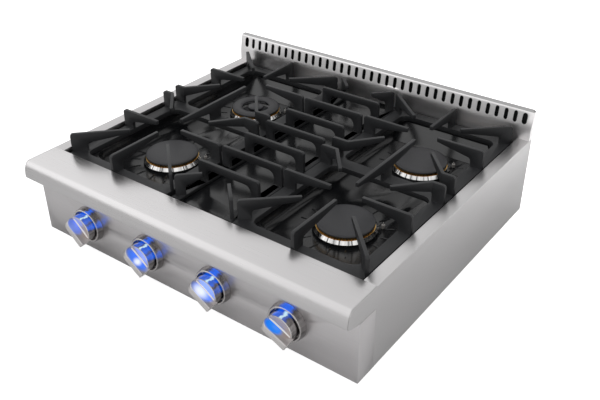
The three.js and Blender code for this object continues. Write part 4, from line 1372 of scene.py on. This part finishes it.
# Painted light on each knob: stretches of blue and a white core on the skirt, stretches on the bezel, and blue ovals
# on the grip's side and the knob's face.
KNOB_LOOKS = (
    KnobLook(-42.0, (Lobe(92.0, 17.0, 0.8), Lobe(54.0, 12.0, 0.7), Lobe(24.0, 10.0, 0.75)), Lobe(71.5, 4.8, 1.0),
             (Lobe(72.0, 9.0, 0.85), Lobe(22.0, 8.0, 0.6)),
             Glow((-8.5, 36.5), (18.0, 11.0), 1.0, (0.04, 0.11, 0.55), (-8.0, 37.0), (9.0, 8.0), 0.06,
                  (0.3, 0.36, 0.6)),
             Glow((-15.0, 16.0), (15.0, 11.0), 0.65, (0.05, 0.11, 0.5))),
    KnobLook(-37.0, (Lobe(93.0, 12.0, 0.7), Lobe(56.0, 13.0, 0.85), Lobe(24.0, 11.0, 0.8)), Lobe(71.5, 4.8, 1.0),
             (Lobe(74.0, 11.0, 0.9), Lobe(20.0, 8.0, 0.5)),
             Glow((0.5, 35.5), (26.0, 12.0), 1.0, (0.02, 0.13, 0.72), (4.5, 37.0), (8.0, 8.0), 1.0,
                  (0.16, 0.26, 0.58)),
             Glow((4.0, 19.0), (25.0, 10.0), 0.75, (0.04, 0.14, 0.65))),
    KnobLook(-32.0, (Lobe(92.0, 19.0, 0.75), Lobe(58.0, 10.0, 0.8), Lobe(24.0, 10.0, 0.5)), Lobe(72.0, 5.5, 1.0),
             (Lobe(76.0, 14.0, 1.0), Lobe(25.0, 7.0, 0.2)),
             Glow((-2.0, 36.0), (22.0, 12.0), 1.0, (0.06, 0.17, 0.72), (-4.5, 37.0), (16.0, 12.0), 1.0,
                  (0.2, 0.3, 0.6)),
             Glow((2.0, 18.0), (27.0, 12.0), 0.9, (0.04, 0.16, 0.7))),
    KnobLook(-25.0, (Lobe(100.0, 18.0, 0.8), Lobe(66.0, 7.0, 0.5)), Lobe(79.0, 5.5, 1.0),
             (Lobe(82.0, 15.0, 1.0), Lobe(100.0, 8.0, 0.3)),
             Glow((-8.5, 35.5), (17.5, 10.5), 1.0, (0.005, 0.2, 0.9), (-4.0, 34.0), (8.0, 5.0), 0.06,
                  (0.05, 0.18, 0.5)),
             Glow()),
)


@dataclass
class Control:
    """One control: its bezel, the knob with its grip, and the blue light painted round it."""

    shop: Workshop
    number: int
    look: KnobLook
    skirt_radius: float = 27.8
    skirt_back: float = 6.0
    skirt_face: float = 30.0
    grip_reach: float = 46.5
    grip_width: float = 14.0
    grip_tail: float = 29.5
    grip_nose: float = 26.8
    nose_round: float = 13.0
    bezel_radius: float = 36.5
    bezel_rim: float = 34.0
    bezel_bore: float = 31.0
    bezel_reach: float = 13.5
    bezel_floor: float = 1.8
    bezel_edge: float = 0.25
    stem_hole: float = 6.0
    face_drop: float = 2.5
    grip_edge: float = 0.7
    grip_sunk: float = 4.0
    # A stretch of painted light in the bezel's cup, which lightens the shade there.
    cup_light: Lobe = Lobe(105.0, 45.0, 0.35)
    stem_brass: Colour = (0.6, 0.45, 0.2)

    @property
    def turn(self) -> float:
        """Returns the turn about the world's Y axis that the grip stands at, in radians."""
        return math.radians(-self.look.turn)

    def build(self) -> None:
        """Makes the bezel, the skirt and the grip."""
        middle = centre_of(f"knob_bezel_{self.number}")
        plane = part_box("front_panel")[0][1]
        centre = (middle[0], plane, middle[2])
        self._bezel(centre)
        self._knob(centre)

    def _bezel(self, centre: Point) -> None:
        """Turns the bezel.

        Args:
            centre: the point on the front panel that the control stands on, in metres.
        """
        outer, rim, bore, reach = self.bezel_radius, self.bezel_rim, self.bezel_bore, self.bezel_reach
        profile = [
            (self.stem_hole, 0.0), (outer, 0.0), (outer, 1.2), (rim + 0.8, reach - 1.6), (rim, reach - 0.5),
            (rim - 0.6, reach), (bore + 0.5, reach), (bore, reach - 0.6), (bore, self.bezel_floor),
            (self.stem_hole, self.bezel_floor),
        ]
        node = f"knob_bezel_{self.number}"

        def band(radius: float, out: float) -> int:
            """Picks a face's slot from its place on the turned profile.

            Args:
                radius: its distance from the axis, in millimetres.
                out: its distance in front of the panel.

            Returns:
                Its slot.
            """
            if out > reach - 0.9:
                return BezelSlot.RIM
            return BezelSlot.CUP if radius < bore + 0.2 and out < reach - 0.4 else BezelSlot.FLANK

        piece = self.shop.turned(f"{node}.look", profile, centre, Axis.BACK, band, self.bezel_edge)
        # The flank and the cup are steel painted dark as dark reflections, with painted light on them; the rim is the
        # bright steel.
        finishes = {
            BezelSlot.FLANK: LitSteel(f"bezel_flank_{self.number}", centre, lobes=self.look.bezel, near=1.0, far=13.0),
            BezelSlot.RIM: PlainMetal(f"bezel_rim_{self.number}", (0.66, 0.64, 0.63), 0.24),
            BezelSlot.CUP: LitSteel(f"bezel_cup_{self.number}", centre, (0.5, 0.47, 0.47), 0.45, (self.cup_light,)),
        }
        self.shop.dress(piece, [finishes[slot].material() for slot in BezelSlot], [node])

    def _knob(self, centre: Point) -> None:
        """Turns the skirt, sets the grip on it and joins them.

        Args:
            centre: the point on the front panel that the control stands on, in metres.
        """
        edge, face, back = self.skirt_radius, self.skirt_face, self.skirt_back
        profile = [
            (0.0, back), (edge - 0.6, back), (edge, back + 0.6), (edge, face - 1.2), (edge - 0.5, face - 0.2),
            (edge - 1.1, face), (edge - 1.9, face - 0.5), (edge - 2.8, face - 1.7),
            (edge * 0.5, face - self.face_drop + 0.1), (0.0, face - self.face_drop),
        ]

        def band(radius: float, out: float) -> int:
            """Picks a face's slot from its place on the turned profile.

            Args:
                radius: its distance from the axis, in millimetres.
                out: its distance in front of the panel.

            Returns:
                Its slot.
            """
            if out > face - 1.0 and radius > edge - 1.7:
                return KnobSlot.RIM
            return KnobSlot.FACE if out > face - 3.0 and radius < edge - 1.0 else KnobSlot.FLANK

        node = f"knob_{self.number}"
        skirt = self.shop.turned(f"{node}.look", profile, centre, Axis.BACK, band)
        self._join(skirt, self._grip(centre))
        self._join(skirt, self._root(centre))
        # The flank is steel painted dark as dark reflections, with painted blue light and a painted white highlight;
        # the face and the grip's side carry painted ovals of blue light.
        finishes = {
            KnobSlot.FLANK: LitSteel(f"knob_flank_{self.number}", centre, (0.34, 0.322, 0.32), lobes=self.look.skirt,
                                     core=self.look.core, near=back, far=face - 1.0),
            KnobSlot.RIM: PlainMetal(f"knob_rim_{self.number}", (0.78, 0.76, 0.75), 0.16),
            KnobSlot.FACE: LitFace(f"knob_face_{self.number}", centre, self.turn, self.look.face, Axis.UP,
                                   (0.5, 0.425, 0.395), metallic=0.35, roughness=0.55),
            KnobSlot.LIT_FLAT: LitFace(f"grip_side_{self.number}", centre, self.turn, self.look.side),
            KnobSlot.GRIP: BrushedSteel(f"grip_steel_{self.number}", (0.76, 0.735, 0.725), 0.3),
        }
        self.shop.dress(skirt, [finishes[slot].material() for slot in KnobSlot], [node])
        brass = PlainMetal(f"stem_brass_{self.number}", self.stem_brass).material()
        self.shop.plain(f"valve_stem_{self.number}", brass)

    def _grip(self, centre: Point) -> bpy.types.Object:
        """Makes the bar that the fingers hold.

        Args:
            centre: the point on the front panel that the control stands on, in metres.

        Returns:
            The bar, with a slot of its own for the flat that the light falls on.
        """
        base = self.skirt_face - self.grip_sunk
        nose, tail, reach, bend = -self.grip_nose, self.grip_tail, self.grip_reach, self.nose_round
        arc = [(nose + bend * (1 - math.cos(t)), reach - bend * (1 - math.sin(t)))
               for t in (math.pi / 2 * step / 10 for step in range(11))]
        outline = [(nose, base), *arc, (tail - 1.0, reach), (tail, reach - 1.0), (tail, base)]
        half = self.grip_width / 2
        work = bmesh.new()
        lower, upper = ([work.verts.new(self._on_knob(centre, along, out, offset)) for along, out in outline]
                        for offset in (-half, half))
        lit = work.faces.new(upper)
        work.faces.new(list(reversed(lower)))
        for i in range(len(outline)):
            j = (i + 1) % len(outline)
            work.faces.new((lower[i], lower[j], upper[j], upper[i]))
        for face in work.faces:
            face.material_index = KnobSlot.LIT_FLAT if face == lit else KnobSlot.GRIP
        grip = self.shop.finished(f"grip_{self.number}", work)
        self.shop.soften(grip, self.grip_edge, 3)
        return grip

    def _root(self, centre: Point) -> bpy.types.Object:
        """Makes the bright fillets where the grip meets the face.

        Args:
            centre: the point on the front panel that the control stands on, in metres.

        Returns:
            Both fillets, in the rim's slot.
        """
        half, floor = self.grip_width / 2, self.skirt_face - self.face_drop
        section = ((-0.3, -0.5), (2.3, -0.5), (2.2, 0.1), (1.2, 0.4), (0.5, 1.0), (0.1, 2.2), (-0.3, 2.2))
        length = math.sqrt((self.skirt_radius - 3.2) ** 2 - (half + 1.0) ** 2)
        work = bmesh.new()
        for side in (-1, 1):
            first, last = ([work.verts.new(self._on_knob(centre, along, floor + out, side * (half + away)))
                            for away, out in section] for along in (-length, length))
            for i in range(len(section)):
                j = (i + 1) % len(section)
                work.faces.new((first[i], first[j], last[j], last[i]))
            work.faces.new(first)
            work.faces.new(last)
        for face in work.faces:
            face.material_index = KnobSlot.RIM
        return self.shop.finished(f"root_{self.number}", work)

    def _on_knob(self, centre: Point, along: float, out: float, away: float) -> Vector:
        """Places a point that is given on the knob as the grip stands.

        Args:
            centre: the point on the front panel that the control stands on, in metres.
            along: the place along the grip, in millimetres.
            out: the place in front of the panel.
            away: the place across the grip.

        Returns:
            The point, in metres.
        """
        return Vector(centre) + Matrix.Rotation(self.turn, 4, "Y") @ (Vector((along, -out, away)) * MM)

    @staticmethod
    def _join(stays: bpy.types.Object, goes: bpy.types.Object) -> None:
        """Adds one piece's mesh to another's.

        Args:
            stays: the piece that stays.
            goes: the piece that goes into it.
        """
        work = bmesh.new()
        work.from_mesh(stays.data)
        work.from_mesh(goes.data)
        work.to_mesh(stays.data)
        work.free()
        bpy.data.objects.remove(goes)
        Workshop.smooth(stays.data)


@dataclass
class GasTrain:
    """The valves, pipes and tubes behind the front panel and under the tray."""

    shop: Workshop
    brass: PlainMetal = PlainMetal("valve_brass", (0.6, 0.45, 0.2), 0.3)
    zinc: PlainMetal = PlainMetal("plated_pipe", (0.5, 0.52, 0.54), 0.38, 0.12, 60.0)
    alloy: PlainMetal = PlainMetal("cast_alloy", (0.55, 0.56, 0.57), 0.45, 0.14, 300.0)
    black: Moulding = Moulding("black_moulding", (0.02, 0.02, 0.022), 0.5)

    def build(self) -> None:
        """Dresses the hidden parts, whose shapes are right as they are."""
        valves = [f"{kind}_{number}" for number in range(1, len(KNOB_LOOKS) + 1)
                  for kind in ("valve_plug", "gas_valve")]
        pipes = ["gas_manifold", "feed_pipe", "manifold_bracket_left", "manifold_bracket_right"]
        tubes = [f"supply_tube_{burner}" for burner in BURNERS]
        finishes = ((self.brass, valves), (self.zinc, pipes), (self.alloy, [*tubes, "gas_regulator"]),
                    (self.black, ["spark_module"]))
        for finish, nodes in finishes:
            material = finish.material()
            for node in nodes:
                self.shop.plain(node, material)


# ------------------------------------------------------------------------------------------- studio


@dataclass(frozen=True)
class Lamp:
    """A soft square lamp that metal doesn't mirror, in metres and watts."""

    name: str
    place: Point
    target: Point
    size: float
    power: float

    def hang(self) -> None:
        """Hangs the lamp, pointed at its target."""
        data = bpy.data.lights.new(self.name, "AREA")
        data.size = self.size
        data.energy = self.power
        lamp = bpy.data.objects.new(self.name, data)
        lamp.visible_glossy = False
        lamp.location = self.place
        lamp.rotation_euler = (Vector(self.target) - Vector(self.place)).to_track_quat("-Z", "Y").to_euler()
        bpy.context.scene.collection.objects.link(lamp)


@dataclass(frozen=True)
class Ramp:
    """A soft change of one measure into another."""

    start: float
    end: float
    low: float
    high: float


@dataclass
class Studio:
    """The floor, the soft light and the camera of the photograph."""

    lamps: tuple[Lamp, ...] = (
        Lamp("overhead", (-0.1, 0.0, 1.9), (0.0, 0.0, 0.1), 1.5, 13.0),
        Lamp("front", (0.2, -2.2, 1.4), (0.1, -0.2, 0.1), 2.2, 27.0),
        Lamp("right_fill", (0.8, 0.95, 0.45), (0.45, 0.35, 0.0), 0.5, 6.5),
    )
    camera_place: Point = (0.8453814, -1.0699915, 0.9140815)
    heading: float = -0.6415
    pitch: float = 0.5624
    roll: float = -0.0061
    lens: float = 46.96
    sensor: float = 36.0
    sky: float = 0.55
    sky_across: Ramp = Ramp(-0.75, -0.2, 1.06, 0.82)
    sky_along: Ramp = Ramp(-0.25, 0.45, 1.25, 1.0)
    floor_size: float = 14.0
    floor_gap: float = 0.4
    floor_colour: float = 0.85
    floor_glow: float = 0.55
    mirrored_colour: float = 0.58

    def build(self) -> None:
        """Sets up the view, the world, the floor and the lamps."""
        bpy.context.scene.view_settings.view_transform = "Standard"
        self._camera()
        self._world()
        self._floor()
        for lamp in self.lamps:
            lamp.hang()

    def _camera(self) -> None:
        """Places the camera where the photograph was taken from."""
        ahead = Vector((math.sin(self.heading) * math.cos(self.pitch),
                        math.cos(self.heading) * math.cos(self.pitch), -math.sin(self.pitch)))
        right = Vector((math.cos(self.heading), -math.sin(self.heading), 0.0))
        above = right.cross(ahead)
        turn, lean = math.cos(self.roll), math.sin(self.roll)
        right, above = right * turn + above * lean, above * turn - right * lean
        data = bpy.data.cameras.new("camera")
        data.lens = self.lens
        data.sensor_width = self.sensor
        data.sensor_fit = "HORIZONTAL"
        data.clip_start = 0.05
        camera = bpy.data.objects.new("camera", data)
        place = Matrix((right, above, -ahead)).transposed().to_4x4()
        place.translation = Vector(self.camera_place)
        camera.matrix_world = place
        bpy.context.scene.collection.objects.link(camera)
        bpy.context.scene.camera = camera

    def _world(self) -> None:
        """Makes the sky: as bright to the eye as in metal and glass, and softer as a light."""
        world = bpy.data.worlds.new("sky")
        world.use_nodes = True
        bpy.context.scene.world = world
        tree = world.node_tree
        background = tree.nodes["Background"]
        path = tree.nodes.new("ShaderNodeLightPath")
        seen = path.outputs["Is Camera Ray"]
        for name in ("Is Glossy Ray", "Is Transmission Ray"):
            either = tree.nodes.new("ShaderNodeMath")
            either.operation = "MAXIMUM"
            tree.links.new(seen, either.inputs[0])
            tree.links.new(path.outputs[name], either.inputs[1])
            seen = either.outputs[0]
        level = tree.nodes.new("ShaderNodeMapRange")
        tree.links.new(seen, level.inputs["Value"])
        level.inputs["To Min"].default_value = self.sky
        level.inputs["To Max"].default_value = 1.0
        tree.links.new(level.outputs[0], background.inputs["Strength"])
        tree.links.new(self._white_or_room(tree, path), background.inputs["Color"])

    def _white_or_room(self, tree: bpy.types.NodeTree, path: bpy.types.Node) -> bpy.types.NodeSocket:
        """Colours the sky: white to the eye, and otherwise a pale room that is brightest at its front left.

        Args:
            tree: the world's nodes.
            path: its light path node.

        Returns:
            The colour.
        """
        towards = tree.nodes.new("ShaderNodeTexCoord")
        parts = tree.nodes.new("ShaderNodeSeparateXYZ")
        tree.links.new(towards.outputs["Generated"], parts.inputs[0])
        both = tree.nodes.new("ShaderNodeMath")
        both.operation = "MULTIPLY"
        for socket, (direction, ramp) in zip(both.inputs, (("X", self.sky_across), ("Y", self.sky_along))):
            change = tree.nodes.new("ShaderNodeMapRange")
            change.interpolation_type = "SMOOTHSTEP"
            tree.links.new(parts.outputs[direction], change.inputs["Value"])
            amounts = {"From Min": ramp.start, "From Max": ramp.end, "To Min": ramp.low, "To Max": ramp.high}
            for name, amount in amounts.items():
                change.inputs[name].default_value = amount
            tree.links.new(change.outputs[0], socket)
        tint = tree.nodes.new("ShaderNodeMix")
        tint.data_type = "RGBA"
        tree.links.new(path.outputs["Is Camera Ray"], tint.inputs["Factor"])
        tree.links.new(both.outputs[0], tint.inputs["A"])
        tint.inputs["B"].default_value = (*WHITE, 1.0)
        return tint.outputs["Result"]

    def _floor(self) -> None:
        """Lays a pale floor that keeps the shadow: white to the eye, and a light grey in metal."""
        half, level = self.floor_size / 2, -self.floor_gap * MM
        mesh = bpy.data.meshes.new("floor")
        corners = [(-half, -half, level), (half, -half, level), (half, half, level), (-half, half, level)]
        mesh.from_pydata(corners, [], [(0, 1, 2, 3)])
        floor = bpy.data.objects.new("floor", mesh)
        bpy.context.scene.collection.objects.link(floor)
        nodes = ShaderNodes("studio_floor")
        mirrored = nodes.seen_by("Is Glossy Ray")
        paint = nodes.mix(mirrored, (self.floor_colour,) * 3, (self.mirrored_colour,) * 3)
        glow = nodes.mix(nodes.seen_by("Is Camera Ray"), BLACK, WHITE)
        nodes.finish({"Base Color": paint, "Roughness": 0.9, "Specular IOR Level": 0.0,
                      "Emission Color": glow, "Emission Strength": self.floor_glow})
        mesh.materials.append(nodes.material)


def main() -> None:
    """Builds the studio and dresses each sub-assembly in order."""
    logging.basicConfig(level=logging.INFO, format="%(name)s: %(message)s")
    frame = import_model()
    shop = Workshop(frame)
    Studio().build()
    Casing(shop).build()
    SpillTray(shop).build()
    Grates(shop).build()
    finishes = BurnerFinishes()
    for name in BURNERS:
        Burner(shop, name, finishes, ring=name == DUAL_BURNER).build()
    for number, look in enumerate(KNOB_LOOKS, 1):
        Control(shop, number, look).build()
    GasTrain(shop).build()


if __name__ == "__main__":
    main()
